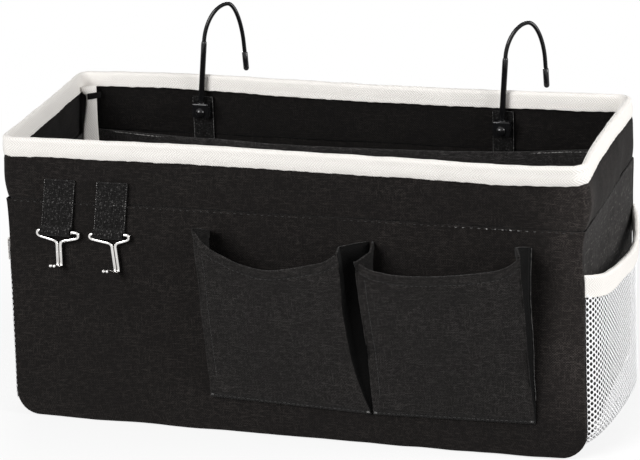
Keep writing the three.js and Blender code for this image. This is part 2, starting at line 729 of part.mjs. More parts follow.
// The cap is a closed tube with a round end.
function capGeometry({ tip, end }) {
  const roundSteps = 4;
  const inner = WIRE / 2 + SLIP;
  const profile = [];
  for (let i = 0; i <= roundSteps; i++) {
    const angle = (i / roundSteps) * (Math.PI / 2);
    const height = sleeveRadius * (1 - Math.cos(angle));
    profile.push(new THREE.Vector2(sleeveRadius * Math.sin(angle), height));
  }
  profile.push(
    new THREE.Vector2(sleeveRadius, CAP_LENGTH),
    new THREE.Vector2(inner, CAP_LENGTH),
    new THREE.Vector2(inner, WIRE / 2 + SKIN),
    new THREE.Vector2(0, WIRE / 2 + SKIN),
  );
  return along(facingOut(new THREE.LatheGeometry(profile, ROUND_SIDES)), tip, end);
}

function addHangingHooks() {
  for (const [name, place] of Object.entries(hookPlaces)) {
    const rivet = rivetGeometry().translate(place.x, 0, place.z - rivetDrop);
    addPiece(`hook_strap_${name}`, strapGeometry(place), webbingBlack);
    addPiece(`hook_plate_${name}`, plateGeometry(place), plasticBlack);
    addPiece(`hook_rivet_${name}`, rivet, plasticBlack);
    const line = hookLine(name);
    const hook = new THREE.Group();
    hook.position.copy(place);
    hook.rotation.z = THREE.MathUtils.degToRad(HOOK_HEADING);
    caddy.add(hook);
    addPiece(`hook_wire_${name}`, hookWireGeometry(line), wireBlack, hook);
    addPiece(`hook_sleeve_${name}`, sleeveGeometry(line), plasticBlack, hook);
    addPiece(`hook_cap_${name}`, capGeometry(line), plasticBlack, hook);
  }
}

addShell();
addCollar();
addRimBinding();
addBoards();
addLinings();
addCornerBindings();
addFrontPockets();
addMeshPockets();
addKeyHooks();
addHangingHooks();

export default caddy;
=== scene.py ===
"""A fabric bedside caddy, dressed around its CAD frame: canvas, tape, mesh, wire and thread.

Sizes are in millimetres and become metres where a mesh is made. Places come from the CAD nodes' boxes.
"""

import json
import math

import bmesh
import bpy
import numpy as np
from mathutils import Matrix, Vector, noise


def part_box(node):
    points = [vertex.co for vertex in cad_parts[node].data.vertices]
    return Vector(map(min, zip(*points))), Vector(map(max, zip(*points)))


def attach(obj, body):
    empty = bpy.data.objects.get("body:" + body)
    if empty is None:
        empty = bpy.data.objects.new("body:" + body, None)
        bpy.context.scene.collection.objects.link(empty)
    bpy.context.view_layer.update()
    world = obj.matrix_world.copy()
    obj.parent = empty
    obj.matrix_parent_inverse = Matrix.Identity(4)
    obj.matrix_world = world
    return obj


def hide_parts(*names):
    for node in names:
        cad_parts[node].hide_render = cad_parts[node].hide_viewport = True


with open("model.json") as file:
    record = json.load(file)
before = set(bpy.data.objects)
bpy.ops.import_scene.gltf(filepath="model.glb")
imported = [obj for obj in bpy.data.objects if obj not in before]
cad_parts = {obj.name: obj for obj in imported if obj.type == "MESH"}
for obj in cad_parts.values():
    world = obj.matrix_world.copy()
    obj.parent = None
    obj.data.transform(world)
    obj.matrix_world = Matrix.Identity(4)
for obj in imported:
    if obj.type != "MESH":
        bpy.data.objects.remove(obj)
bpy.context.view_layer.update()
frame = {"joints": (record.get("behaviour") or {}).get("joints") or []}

MM = 0.001
SIDES = {"left": -1, "right": 1}
WALLS = {"front": -1, "back": 1}


def box(node):
    """A CAD node's lowest and highest corner, in millimetres."""
    return [np.array(corner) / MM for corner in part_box(node)]


def joint_place(name):
    joint = next(j for j in frame["joints"] if j["name"] == name)
    return np.array(joint["pos_m"]) / MM


# Places that the CAD frame gives
panel_low, panel_high = box("front_panel")
HALF_WIDTH = panel_high[0]
FRONT = panel_low[1]
BACK = box("back_panel")[1][1]
GIRTH = 4 * (HALF_WIDTH + BACK)
CANVAS = panel_high[1] - panel_low[1]
STITCH = panel_high[2]
RIM_FOOT = box("rim_binding")[0][2]
RIM_TOP = box("rim_binding")[1][2]
COLLAR_FOOT = box("collar")[0][2]
COLLAR_DEPTH = HALF_WIDTH - box("collar")[1][0] + CANVAS / 2
GUSSET_HALF = box("side_gusset")[1][1]
LINING = box("front_lining")[1][1] - box("front_lining")[0][1]

# Sizes of cloth and wire that the boxes don't give
CORNER_RADIUS = 17.0
WALL_SOFT = 1.3
WALL_CLOTH = 0.9
TAPE = 0.9
CLOTH_STEP = 4.0
THREAD_RADIUS = 0.24
WIRE_RADIUS = 1.5
SLEEVE_RADIUS = 2.05
KEY_RADIUS = 1.1


def points_of(*axes):
    """Points from their coordinates. A single value is spread over all of them."""
    return np.stack(np.broadcast_arrays(*axes), axis=-1)


# How the soft box gives

def smooth(value, low, high):
    """0 below low, 1 above high and a smooth rise between them."""
    t = np.clip((np.asarray(value, float) - low) / (high - low), 0, 1)
    return t * t * (3 - 2 * t)


def through(knots, at):
    """A smooth line through (place, value) knots, read at places."""
    x, y = np.array(knots, float).T
    at = np.clip(at, x[0], x[-1])
    slope = np.gradient(y, x)
    i = np.clip(np.searchsorted(x, at) - 1, 0, len(x) - 2)
    width = x[i + 1] - x[i]
    t = (at - x[i]) / width
    rise = t * (1 - t) ** 2 * width * slope[i] + t * t * (t - 1) * width * slope[i + 1]
    return (1 + 2 * t) * (1 - t) ** 2 * y[i] + t * t * (3 - 2 * t) * y[i + 1] + rise


# Shift of the left and right upright edges out of the box, by height
FRONT_EDGES = (
    [(0, 1.2), (20, 0.3), (70, -0.7), (138, -1.3), (STITCH, -0.8), (STITCH + 6, 0.2), (STITCH + 16, 0.8),
     (RIM_FOOT, 1.0), (RIM_TOP, 0.8)],
    [(0, -0.6), (20, -0.8), (70, -2.0), (111, -2.6), (STITCH, -2.4), (STITCH + 6, -0.6),
     (STITCH + 15, 1.2), (STITCH + 23, 0.6), (RIM_FOOT, -1.2), (RIM_TOP, -1.8)],
)
BACK_EDGES = (
    [(0, 0), (60, 0.8), (127, 1.6), (RIM_FOOT, 1.4), (RIM_TOP, 1.0)],
    [(0, 0), (60, 0.8), (127, 1.8), (STITCH, 2.2), (STITCH + 12, 2.4), (RIM_FOOT, 2.5), (RIM_TOP, 2.1)],
)
# How far the left and right rims bow inwards, by share from front to back
RIM_BOW = (
    [(0, 0), (0.25, 0.9), (0.5, 1.2), (0.75, 0.9), (1, 0)],
    [(0, 0), (0.25, 2.0), (0.6, 1.7), (0.9, 0.2), (1, 0)],
)
# Rise of the front and back rims, by place across
FRONT_RIM = [(-200, 0.2), (-129, 0.8), (-46, 1.1), (9, 0.6), (90, -0.2), (160, -0.8), (188, 0.3),
             (200, 1.3)]
BACK_RIM = [(-200, 0.6), (-125, 2.4), (-34, 1.3), (51, 0.6), (107, 0.9), (200, 2.2)]
# The front right corner stands off the floor: how far, from where across, and up to which height
CORNER_LIFT = 1.2
LIFT_FROM = 150.0
LIFT_HEIGHT = 50.0
# The front leans out at its foot, more so on the right
FOOT_LEAN = 4.4
FOOT_TWIST = 2.7
LEAN_POWER = 1.3
EDGE_REACH = 80.0


def by_side(x, pair, at):
    """The left or right line of a pair, by the sign of x, read at places."""
    return np.where(x < 0, *(through(line, at) for line in pair))


def slouch(points):
    """Moves points of the squared-up box to where the soft box has them: drawn in, leaning, sagging."""
    x, y, z = np.moveaxis(np.asarray(points, float), -1, 0)
    behind = np.clip((y - FRONT) / (BACK - FRONT), 0, 1)
    loose = smooth(z, STITCH, RIM_FOOT)
    edge = (1 - behind) * by_side(x, FRONT_EDGES, z) + behind * by_side(x, BACK_EDGES, z)
    edge = edge - by_side(x, RIM_BOW, behind) * loose
    out = np.sign(x) * edge * smooth(np.abs(x), HALF_WIDTH - EDGE_REACH, HALF_WIDTH)
    lean = (FOOT_LEAN + FOOT_TWIST * x / HALF_WIDTH) * np.clip(1 - z / STITCH, 0, 1) ** LEAN_POWER
    lean = lean * np.clip(y / FRONT, 0, 1)
    rise = (1 - behind) * through(FRONT_RIM, x) + behind * through(BACK_RIM, x)
    lift = CORNER_LIFT * (1 - behind) * smooth(x, LIFT_FROM, HALF_WIDTH)
    lift = lift * np.clip(1 - z / LIFT_HEIGHT, 0, 1)
    return points_of(x + out, y - lean, np.maximum(z + lift + rise * loose, 0))


# Materials

# How much darker the inner faces of cloth are painted, as shade inside the bag and its pockets
INNER_SHADE = 0.5
SLUB_LONG = 4.6
SLUB_WIDE = 0.8
PATCH_SIZE = (46.0, 34.0)
# Where the painted highlight on the front right corner begins and where it is full, in metres
PAINTED_LIGHT_ACROSS = (0.157, 0.196)
PAINTED_LIGHT_FRONT = (-0.05, -0.075)
PAINTED_LIGHT_UP = (0.0, 0.06)


class Nodes:
    """A node tree under construction. Each call adds a node and gives back its output."""

    def __init__(self, tree):
        self.tree = tree

    def add(self, kind, inputs=(), output=0, **settings):
        node = self.tree.nodes.new("ShaderNode" + kind)
        for key, value in settings.items():
            setattr(node, key, value)
        for key, value in dict(inputs).items():
            self.feed(node.inputs[key], value)
        return node.outputs[output]

    def feed(self, socket, value):
        if isinstance(value, bpy.types.NodeSocket):
            self.tree.links.new(value, socket)
        else:
            socket.default_value = value

    def math(self, operation, *values):
        return self.add("Math", enumerate(values), operation=operation)


class Finish(Nodes):
    """A material under construction."""

    def __init__(self, name, **sockets):
        self.material = bpy.data.materials.new(name)
        self.material.use_nodes = True
        super().__init__(self.material.node_tree)
        self.shader = next(n for n in self.tree.nodes if n.type == "BSDF_PRINCIPLED")
        for socket, value in sockets.items():
            self.shader.inputs[socket.replace("_", " ")].default_value = value

    def place(self):
        return self.add("TexCoord", output="Object")

    def split(self, vector):
        return self.add("SeparateXYZ", {0: vector}).node.outputs

    def cloth_axes(self):
        """Along and across the cloth, in millimetres."""
        axes = self.split(self.add("UVMap", uv_map="cloth"))
        return [self.math("DIVIDE", axes[i], MM) for i in range(2)]

    def noise(self, place, scale=1.0, detail=2.0):
        return self.add("TexNoise", {"Vector": place, "Scale": scale, "Detail": detail})

    def stretched_noise(self, u, v, u_size, v_size, seed):
        across = [self.math("DIVIDE", u, u_size), self.math("DIVIDE", v, v_size), seed]
        return self.noise(self.add("CombineXYZ", enumerate(across)))

    def wave(self, length, value):
        return self.math("SINE", self.math("MULTIPLY", value, 2 * math.pi / length))

    def ramp(self, value, low, high, to_low=0.0, to_high=1.0):
        inputs = {"Value": value, "From Min": low, "From Max": high, "To Min": to_low, "To Max": to_high}
        return self.add("MapRange", inputs, interpolation_type="SMOOTHSTEP")

    def mix(self, share, first, second):
        inputs = {0: share, 6: (*first, 1), 7: (*second, 1)}
        return self.add("Mix", inputs, output=2, data_type="RGBA", clamp_factor=False)

    def done(self, color, height=None, depth_mm=0.2, strength=0.6, roughness=None):
        self.feed(self.shader.inputs["Base Color"], color)
        if roughness is not None:
            self.feed(self.shader.inputs["Roughness"], roughness)
        if height is not None:
            inputs = {"Height": height, "Strength": strength, "Distance": depth_mm * MM}
            self.feed(self.shader.inputs["Normal"], self.add("Bump", inputs))
        return self.material


def canvas(name, dark, light, pitch=0.9, speck=0.0, speck_size=(1.1, 1.1), corner_light=0.0):
    """Plain-weave canvas whose uneven threads show as short light flecks.

    Its inner face is painted darker, as shade inside the bag and its pockets. Speck adds knots of fibre,
    painted lighter as glints where they catch light, and the front right corner is paled by a painted
    highlight.
    """
    f = Finish(name, Roughness=0.9, Sheen_Weight=0.04, Sheen_Roughness=0.5, Specular_IOR_Level=0.1)
    u, v = f.cloth_axes()
    weave = f.math("MULTIPLY", f.wave(2 * pitch, u), f.wave(2 * pitch, v))
    along = f.stretched_noise(u, v, SLUB_LONG, SLUB_WIDE, 1.7)
    across = f.stretched_noise(u, v, SLUB_WIDE, SLUB_LONG, 5.3)
    slub = f.math("MAXIMUM", along, f.math("MULTIPLY", across, 0.95))
    patch = f.stretched_noise(u, v, *PATCH_SIZE, 9.1)
    # Knots of fibre, painted lighter as glints
    glinting_knot = f.ramp(f.stretched_noise(u, v, *speck_size, 13.7), 0.58, 0.7, 0.0, speck)
    lit = f.math("ADD", slub, f.math("MULTIPLY", weave, 0.09))
    fleck = f.math("MULTIPLY", f.ramp(lit, 0.46, 0.78), f.ramp(patch, 0.3, 0.7, 0.7, 1.2))
    height = f.math("ADD", f.math("MULTIPLY", weave, 0.5), slub)
    x, y, z = f.split(f.place())
    # Painted highlight: the canvas is paled towards the front right corner, where light catches it
    beside = f.math("MULTIPLY", f.ramp(x, *PAINTED_LIGHT_ACROSS), f.ramp(y, *PAINTED_LIGHT_FRONT))
    corner = f.math("MULTIPLY", beside, f.ramp(z, *PAINTED_LIGHT_UP))
    # Painted shade: inner faces, and outer faces in folds, are darkened through the inside attribute
    inside = f.add("Attribute", output=2, attribute_name="inside")
    shade = f.math("SUBTRACT", 1.0, f.math("MULTIPLY", inside, INNER_SHADE))
    level = f.math("MULTIPLY", shade, f.ramp(corner, 0.0, 1.0, 1.0, 1.0 + corner_light))
    shown = f.mix(f.math("ADD", fleck, glinting_knot), dark, light)
    color = f.add("VectorMath", {0: shown, "Scale": level}, operation="SCALE")
    return f.done(color, height, depth_mm=0.25, strength=0.55)


def twill(name, pale, shade):
    """Herringbone twill tape: diagonal ribs that turn back every few millimetres across its width."""
    f = Finish(name, Roughness=0.85, Sheen_Weight=0.1, Sheen_Roughness=0.5, Specular_IOR_Level=0.2)
    u, v = f.cloth_axes()
    rib = f.wave(1.9, f.math("ADD", u, f.math("PINGPONG", v, 4.2)))
    fibre = f.stretched_noise(u, v, 1.2, 0.5, 3.1)
    soil = f.stretched_noise(u, v, 26.0, 9.0, 8.2)
    lightness = f.math("MULTIPLY", f.ramp(rib, -1.0, 0.3), f.ramp(soil, 0.2, 0.7, 0.82, 1.0))
    height = f.math("ADD", f.math("MULTIPLY", rib, 0.6), fibre)
    return f.done(f.mix(lightness, shade, pale), height, depth_mm=0.28, strength=0.55)


def yarn(name, color, shade, patch_mm=0.4, low=0.3, high=0.7, **sockets):
    """Thread and mesh: twisted fibre that is lighter in some places than in others."""
    f = Finish(name, **sockets)
    patch = f.ramp(f.noise(f.place(), 1 / (patch_mm * MM)), low, high)
    return f.done(f.mix(patch, shade, color), f.noise(f.place(), 2600.0), depth_mm=0.08, strength=0.4)


def moulded(name, color, shade, roughness, **sockets):
    """Gloss plastic or coated wire, with a faint unevenness in its gloss."""
    f = Finish(name, **sockets)
    broad, fine = f.noise(f.place(), 140.0, 3.0), f.noise(f.place(), 1500.0)
    gloss = f.ramp(broad, 0.3, 0.7, roughness * 0.8, roughness * 1.25)
    return f.done(f.mix(broad, shade, color), fine, depth_mm=0.02, strength=0.25, roughness=gloss)


def board(name, color, shade):
    f = Finish(name, Roughness=0.95)
    fibre = f.noise(f.place(), 420.0, 6.0)
    return f.done(f.mix(f.ramp(fibre, 0.35, 0.65), shade, color), fibre, depth_mm=0.1)


BLACK_CANVAS = canvas("black_canvas", (0.0062, 0.0053, 0.0050), (0.0235, 0.0203, 0.0187), corner_light=1.3)
# A lighter copy of the black canvas for the pocket fronts: the extra lightness is painted light on their
# bulge
POCKET_LIT_CANVAS = canvas("pocket_lit_canvas", (0.0098, 0.0090, 0.0086), (0.0365, 0.0335, 0.0322), speck=0.5)
# A lighter copy of the black canvas for the sides and base: its extra paleness is painted sheen and side
# light
SIDE_SHEEN_CANVAS = canvas("side_sheen_canvas", (0.0120, 0.0110, 0.0107), (0.045, 0.042, 0.040), speck=1.4,
                     speck_size=(1.7, 5.0))
LINING_CLOTH = canvas("lining_cloth", (0.0150, 0.0140, 0.0138), (0.058, 0.055, 0.054), speck=0.7)
STRAP_CLOTH = canvas("strap_cloth", (0.0085, 0.0078, 0.0076), (0.047, 0.045, 0.044), pitch=0.7, speck=3.2)
TWILL_TAPE = twill("twill_tape", (0.92, 0.893, 0.855), (0.77, 0.738, 0.70))
DARK_THREAD = yarn("dark_thread", (0.028, 0.026, 0.025), (0.005, 0.0045, 0.004), 3.0, 0.5, 0.75,
                   Roughness=0.6)
# Pale thread, also used for painted glints on stitches and a painted highlight on the lining's edge
PALE_GLINT_THREAD = yarn("pale_glint_thread", (0.42, 0.41, 0.40), (0.03, 0.029, 0.028), 1.6, 0.42, 0.66, Roughness=0.7)
TACK_THREAD = yarn("tack_thread", (0.008, 0.0075, 0.0075), (0.003, 0.003, 0.003), 1.5, Roughness=0.9,
                   Specular_IOR_Level=0.1)
# Grey thread, a painted highlight on the right pocket's seam edge
SEAM_GLINT_THREAD = yarn("seam_glint_thread", (0.075, 0.073, 0.071), (0.012, 0.0115, 0.011), 3.0, 0.4, 0.6,
                   Roughness=0.7)
# Lighter thread: painted highlights on strap edges and painted glints on bar tacks
EDGE_GLINT_THREAD = yarn("edge_glint_thread", (0.15, 0.148, 0.145), (0.035, 0.034, 0.033), 3.0, 0.35, 0.6,
                   Roughness=0.6)
WHITE_YARN = yarn("white_yarn", (0.93, 0.93, 0.935), (0.85, 0.85, 0.86), Roughness=0.75)
GLOSS_BLACK = moulded("gloss_black", (0.009, 0.009, 0.010), (0.005, 0.005, 0.005), 0.08,
                      Specular_IOR_Level=0.3, Coat_Weight=0.1)
COATED_WIRE = moulded("coated_wire", (0.008, 0.008, 0.009), (0.004, 0.004, 0.004), 0.1,
                      Specular_IOR_Level=0.2, Coat_Weight=0.05)
NICKEL = moulded("nickel", (0.80, 0.785, 0.765), (0.66, 0.645, 0.63), 0.09, Metallic=1.0)
GREY_BOARD = board("grey_board", (0.2, 0.175, 0.145), (0.12, 0.1, 0.085))


# Meshes

def make_piece(name, points, faces, material, slot, node=None, body="caddy", uv=None):
    """A piece from points in millimetres, which stands for a CAD node where one is named.

    uv holds one place on the cloth for each corner of each face.
    """
    mesh = bpy.data.meshes.new(name)
    mesh.from_pydata((np.asarray(points) * MM).tolist(), [], [list(f) for f in faces])
    if uv is not None:
        layer = mesh.uv_layers.new(name="cloth")
        layer.data.foreach_set("uv", (np.asarray(uv) * MM).astype(np.float32).ravel())
    turn_outwards(mesh)
    mesh.shade_smooth()
    mesh.materials.append(material)
    piece = bpy.data.objects.new(name, mesh)
    bpy.context.scene.collection.objects.link(piece)
    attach(piece, body)
    if node:
        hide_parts(node)
    return piece


def turn_outwards(mesh):
    mesh.calc_loop_triangles()
    co = np.array([v.co for v in mesh.vertices])
    a, b, c = (co[[t.vertices[i] for t in mesh.loop_triangles]] for i in range(3))
    if np.einsum("ij,ij->i", a, np.cross(b, c)).sum() < 0:
        mesh.flip_normals()


def unit(vectors):
    return vectors / np.maximum(np.linalg.norm(vectors, axis=-1, keepdims=True), 1e-9)


def lattice(x, y, z):
    """A grid of points over two of the axes. The third has a single place."""
    grid = np.stack(np.meshgrid(x, y, z, indexing="ij"), axis=-1)
    return grid.squeeze(axis=grid.shape.index(1))


def grid_normals(points, closed=False):
    if closed:
        along = np.roll(points, -1, 0) - np.roll(points, 1, 0)
    else:
        along = np.gradient(points, axis=0)
    return unit(np.cross(along, np.gradient(points, axis=1)))


def running_length(line):
    return np.concatenate([[0], np.cumsum(np.linalg.norm(np.diff(line, axis=0), axis=1))])


def read_along(run, line, at):
    """A line of points read at running lengths."""
    return np.stack([np.interp(at, run, axis) for axis in line.T], axis=1)


def resampled(line, step):
    run = running_length(line)
    return read_along(run, line, np.linspace(0, run[-1], max(2, round(run[-1] / step) + 1)))


def grid_lengths(points, closed=False):
    """Places on the cloth of a grid of points: running lengths along both of its directions."""
    rows = np.concatenate([points, points[:1]]) if closed else points
    u = running_length(rows[:, rows.shape[1] // 2])
    v = np.linalg.norm(np.diff(rows, axis=1), axis=2).cumsum(axis=1)
    v = np.concatenate([np.zeros((len(rows), 1)), v], axis=1)
    return points_of(u[:, None], v)


def grid_faces(index):
    """Faces between the rows and columns of a grid of indices."""
    corners = [index[:-1, :-1], index[1:, :-1], index[1:, 1:], index[:-1, 1:]]
    return np.stack(corners, axis=-1).reshape(-1, 4)


def cloth(name, node, outer, thickness, material, slot, closed=False, shaded=0.0, flat=None, **lies):
    """A closed sheet of cloth: a grid of points for its outer face, and its inner face a thickness away.

    Shaded tells, by row, which of its outer faces lie in a fold and get painted shade, as dark as the inner
    face's painted shade.
    Flat is its size when laid out, in millimetres; with it come how it is held and what it rests on. None
    of these is used.
    """
    rows, columns = outer.shape[:2]
    inner = outer - grid_normals(outer, closed) * np.broadcast_to(thickness, (rows, columns))[..., None]
    inner[..., 2] = np.maximum(inner[..., 2], 0)
    count = rows * columns
    index = np.arange(count).reshape(rows, columns)
    if closed:
        index = np.concatenate([index, index[:1]])
    place = np.arange(index.size).reshape(index.shape)
    front, corners = grid_faces(index), [grid_faces(place), grid_faces(place)[:, ::-1]]
    faces = [front, front[:, ::-1] + count]
    edges = [(np.s_[:, 0], 1), (np.s_[:, -1], -1)]
    if not closed:
        edges += [(np.s_[0], -1), (np.s_[-1], 1)]
    for edge, flip in edges:
        here, there, at = index[edge][:-1], index[edge][1:], place[edge]
        faces.append(np.stack([there, here, here + count, there + count], axis=1)[:, ::flip])
        corners.append(np.stack([at[1:], at[:-1], at[:-1], at[1:]], axis=1)[:, ::flip])
    points = np.concatenate([outer.reshape(-1, 3), inner.reshape(-1, 3)])
    uv = grid_lengths(outer, closed).reshape(-1, 2)[np.concatenate(corners).ravel()]
    piece = make_piece(name, points, np.concatenate(faces), material, slot, node, uv=uv)
    # Painted shade: the canvas finishes darken faces by this attribute, 1 on the inner face and the shaded
    # rows outside
    inside = np.zeros(len(piece.data.polygons), np.float32)
    inside[:len(front)] = np.repeat(np.broadcast_to(shaded, len(index) - 1), columns - 1)
    inside[len(front):2 * len(front)] = 1
    piece.data.attributes.new("inside", "FLOAT", "FACE").data.foreach_set("value", inside)


def rumple(points, size, height, seed, closed=False):
    """Moves a grid of points in and out by smooth noise, to give the cloth its unevenness."""
    flat = points.reshape(-1, 3) / size
    shift = [noise.fractal(Vector(p) + Vector((seed, 0, 0)), 1.0, 2.0, 3) for p in flat]
    shift = np.array(shift).reshape(points.shape[:2] + (1,))
    return points + grid_normals(points, closed) * shift * height


def spaced(length, step, fine=(0.0, 0.35, 0.9, 1.8, 3.2)):
    """Places from 0 to a length: close together at both ends and a step apart between them."""
    fine = np.array(fine)
    inside = np.linspace(fine[-1], length - fine[-1], max(2, round((length - 2 * fine[-1]) / step) + 1))
    return np.concatenate([fine[:-1], inside, length - fine[-2::-1]])


def eased(distance, radius):
    """How far a soft edge of this radius falls away at a distance in from the edge."""
    inward = np.clip(radius - distance, 0, radius)
    return radius - np.sqrt(radius**2 - inward**2)


# Wires, turned pieces and thread

def bent(points, bends, step=0.6):
    """A wire's centre line: straight runs between points, with a rounded bend at each inner one."""
    points = [np.array(p, float) for p in points]
    line = [points[0]]
    most_of_run = 0.45
    t = np.linspace(0, 1, 13)[:, None]
    for before, corner, after, bend in zip(points, points[1:], points[2:], bends[1:]):
        start, end = (corner + (other - corner) * min(most_of_run, bend / np.linalg.norm(other - corner))
                      for other in (before, after))
        line.extend((1 - t) ** 2 * start + 2 * t * (1 - t) * corner + t * t * end)
    line.append(points[-1])
    return resampled(np.array(line), step)


def bezier(a, b, c, d):
    t = np.linspace(0, 1, 25)[:, None]
    return (1 - t) ** 3 * a + 3 * t * (1 - t) ** 2 * b + 3 * t * t * (1 - t) * c + t**3 * d


def rings_round(axis, side, sides):
    """A ring of unit vectors round an axis."""
    angle = np.linspace(0, 2 * math.pi, sides, endpoint=False)
    return np.outer(np.cos(angle), side) + np.outer(np.sin(angle), np.cross(axis, side))


def ring_faces(rings, sides):
    """Faces of a stack of rings, with both of its ends closed."""
    index = np.arange(rings * sides).reshape(rings, sides)
    around = grid_faces(np.column_stack([index, index[:, :1]]))[:, [0, 3, 2, 1]]
    return [index[0, ::-1].tolist(), index[-1].tolist(), *around.tolist()]


def tube_mesh(line, radius, sides=14, round_ends=True):
    """Points and faces of a round bar along a line, with domed ends."""
    radii = np.full(len(line), float(radius))
    if round_ends:
        dome = np.array([0.12, 0.5, 0.85])
        first, last = unit(line[0] - line[1]), unit(line[-1] - line[-2])
        reach = radius * np.sqrt(1 - dome**2)
        ends = line[0] + np.outer(reach, first), line[-1] + np.outer(reach[::-1], last)
        line = np.concatenate([ends[0], line, ends[1]])
        radii = np.concatenate([radius * dome, radii, radius * dome[::-1]])
    tangent = unit(np.gradient(line, axis=0))
    side = unit(np.cross(tangent[0], [0.3, 0.8, 0.5]))
    rings = []
    for point, direction, r in zip(line, tangent, radii):
        side = unit(side - direction * side.dot(direction))
        rings.append(point + r * rings_round(direction, side, sides))
    return np.concatenate(rings), ring_faces(len(rings), sides)


def turned(profile, start, towards, sides=32):
    """Points and faces of a lathe: (radius, height) pairs along an axis, closed at both ends."""
    axis = unit(np.array(towards, float) - start)
    ring = rings_round(axis, unit(np.cross(axis, [0.31, 0.2, 0.93])), sides)
    points = np.concatenate([start + axis * h + max(r, 0.02) * ring for r, h in profile])
    return points, ring_faces(len(profile), sides)


def dome(radius, rise):
    """Profile of a lathe's rounded head, from its middle out."""
    turn = np.linspace(0, math.pi / 2, 8)
    return [(radius * math.sin(a), rise * (1 - math.cos(a))) for a in turn]


def joined(parts):
    """Several (points, faces) made into one."""
    points, faces, count = [], [], 0
    for part_points, part_faces in parts:
        points.append(part_points)
        faces.extend([[k + count for k in face] for face in part_faces])
        count += len(part_points)
    return np.concatenate(points), faces


def stitches(line, out, pitch=3.4, length=2.2, radius=THREAD_RADIUS):
    """A row of thread stitches along a line on cloth. Each is a short bar that dips in at its ends."""
    out = np.broadcast_to(np.array(out, float), line.shape)
    run = running_length(line)
    share = np.array([0.0, 0.22, 0.5, 0.78, 1.0])
    lift = np.array([-0.9, 0.5, 0.9, 0.5, -0.9])[:, None] * radius
    bars = []
    for k in range(int((run[-1] - length) // pitch) + 1):
        at = k * pitch + share * length
        middle = read_along(run, line, at) + unit(read_along(run, out, at)) * lift
        bars.append(tube_mesh(middle, radius, sides=6, round_ends=False))
    return joined(bars)


# Walls, base and boards

def panel_grid(half, low, high, radius, face, outward, soft):
    """An upright panel's outer face: flat, with rounded lower corners and soft edges. Rows go across it."""
    turn = np.linspace(0, math.pi / 2, 9)[:-1]
    upright = high - spaced(high - low - radius, CLOTH_STEP)[::-1]
    z = np.concatenate([low + radius * (1 - np.cos(turn)), upright])
    drop = np.clip(low + radius - z, 0, None)
    reach = half - radius + np.sqrt(radius**2 - drop**2)
    share = spaced(2 * half, CLOTH_STEP) / half - 1
    x = np.outer(share, reach)
    beyond_x, beyond_z = np.abs(x) - (half - radius), low + radius - z
    in_corner = (beyond_x > 0) & (beyond_z > 0)
    from_arc = radius - np.hypot(np.maximum(beyond_x, 0), np.maximum(beyond_z, 0))
    from_edge = np.where(in_corner, from_arc, np.minimum(half - np.abs(x), z - low))
    fall = eased(np.maximum(from_edge, 0), soft) + eased(high - z, min(soft, 0.5))
    grid = points_of(x, face - outward * fall, z)
    return grid if outward < 0 else grid[::-1]


def gusset_grid(half, low, high, radius, from_y, to_y, soft):
    """A strip's outer face: down the left side, along the base and up the right side."""
    turn = np.linspace(0, math.pi / 2, 9)[1:]
    down = high - spaced(high - low - radius, CLOTH_STEP)
    arc = points_of(-half + radius - radius * np.cos(turn), low + radius - radius * np.sin(turn))
    left = np.concatenate([points_of(-half, down), arc])
    base = np.linspace(-half + radius, half - radius, round(2 * (half - radius) / CLOTH_STEP) + 1)[1:-1]
    line = np.concatenate([left, points_of(base, low), left[::-1] * [-1, 1]])
    along = unit(np.gradient(line, axis=0))
    across = to_y - spaced(to_y - from_y, CLOTH_STEP)
    from_edge = np.minimum(to_y - across, across - from_y)
    fall = eased(from_edge, soft)[None, :] + eased(high - line[:, 1], 0.5)[:, None]
    x = line[:, :1] - along[:, 1:] * fall
    z = line[:, 1:] + along[:, :1] * fall
    return points_of(x, across, z)


def strip_length(half, height, radius):
    """Down one side, along the base and up the other, with two rounded corners."""
    return 2 * (half + height) - (4 - math.pi) * radius


GUSSET_CALM = 14.0


def make_walls():
    for (side, outward), face, seed in zip(WALLS.items(), (FRONT, BACK), (3.0, 11.0)):
        grid = panel_grid(HALF_WIDTH, 0.0, STITCH, CORNER_RADIUS, face, outward, WALL_SOFT)
        cloth(f"{side}_wall", f"{side}_panel", slouch(rumple(grid, 42.0, 0.6, seed)), WALL_CLOTH,
              BLACK_CANVAS, "canvas",
              flat=(2 * HALF_WIDTH, STITCH), held="stretched", rests_on=[f"{side}_board_sheet"])
    grid = gusset_grid(HALF_WIDTH, 0.0, STITCH, CORNER_RADIUS, -GUSSET_HALF, GUSSET_HALF, 1.0)
    calm = smooth(GUSSET_HALF - np.abs(grid[..., 1:2]), 0, GUSSET_CALM)
    grid = slouch(grid + (rumple(grid, 42.0, 1.2, 23.0) - grid) * calm)
    cloth("gusset_wall", "side_gusset", grid, WALL_CLOTH, SIDE_SHEEN_CANVAS, "canvas",
          flat=(2 * GUSSET_HALF, strip_length(HALF_WIDTH, STITCH, CORNER_RADIUS)), held="stretched",
          rests_on=["left_board_sheet", "base_board_sheet"])


def make_boards():
    """The stiffening boards between canvas and lining. They give with the box."""
    for side, outward in WALLS.items():
        low, high = box(f"{side}_board")
        face = low[1] if outward < 0 else high[1]
        grid = panel_grid(high[0], low[2], high[2], CORNER_RADIUS - low[2], face, outward, 0.2)
        add_board(side, grid, high[1] - low[1])
    for side, sign in SIDES.items():
        low, high = box(f"{side}_board")
        y, z = np.linspace(low[1], high[1], 20), np.linspace(low[2], high[2], 20)
        add_board(side, lattice(low[0] if sign < 0 else high[0], y[::sign], z), high[0] - low[0])
    low, high = box("base_board")
    x, y = np.linspace(low[0], high[0], 40), np.linspace(high[1], low[1], 20)
    add_board("base", lattice(x, y, low[2]), high[2] - low[2])


def add_board(side, grid, thickness):
    cloth(f"{side}_board_sheet", f"{side}_board", slouch(grid), thickness, GREY_BOARD, "board")


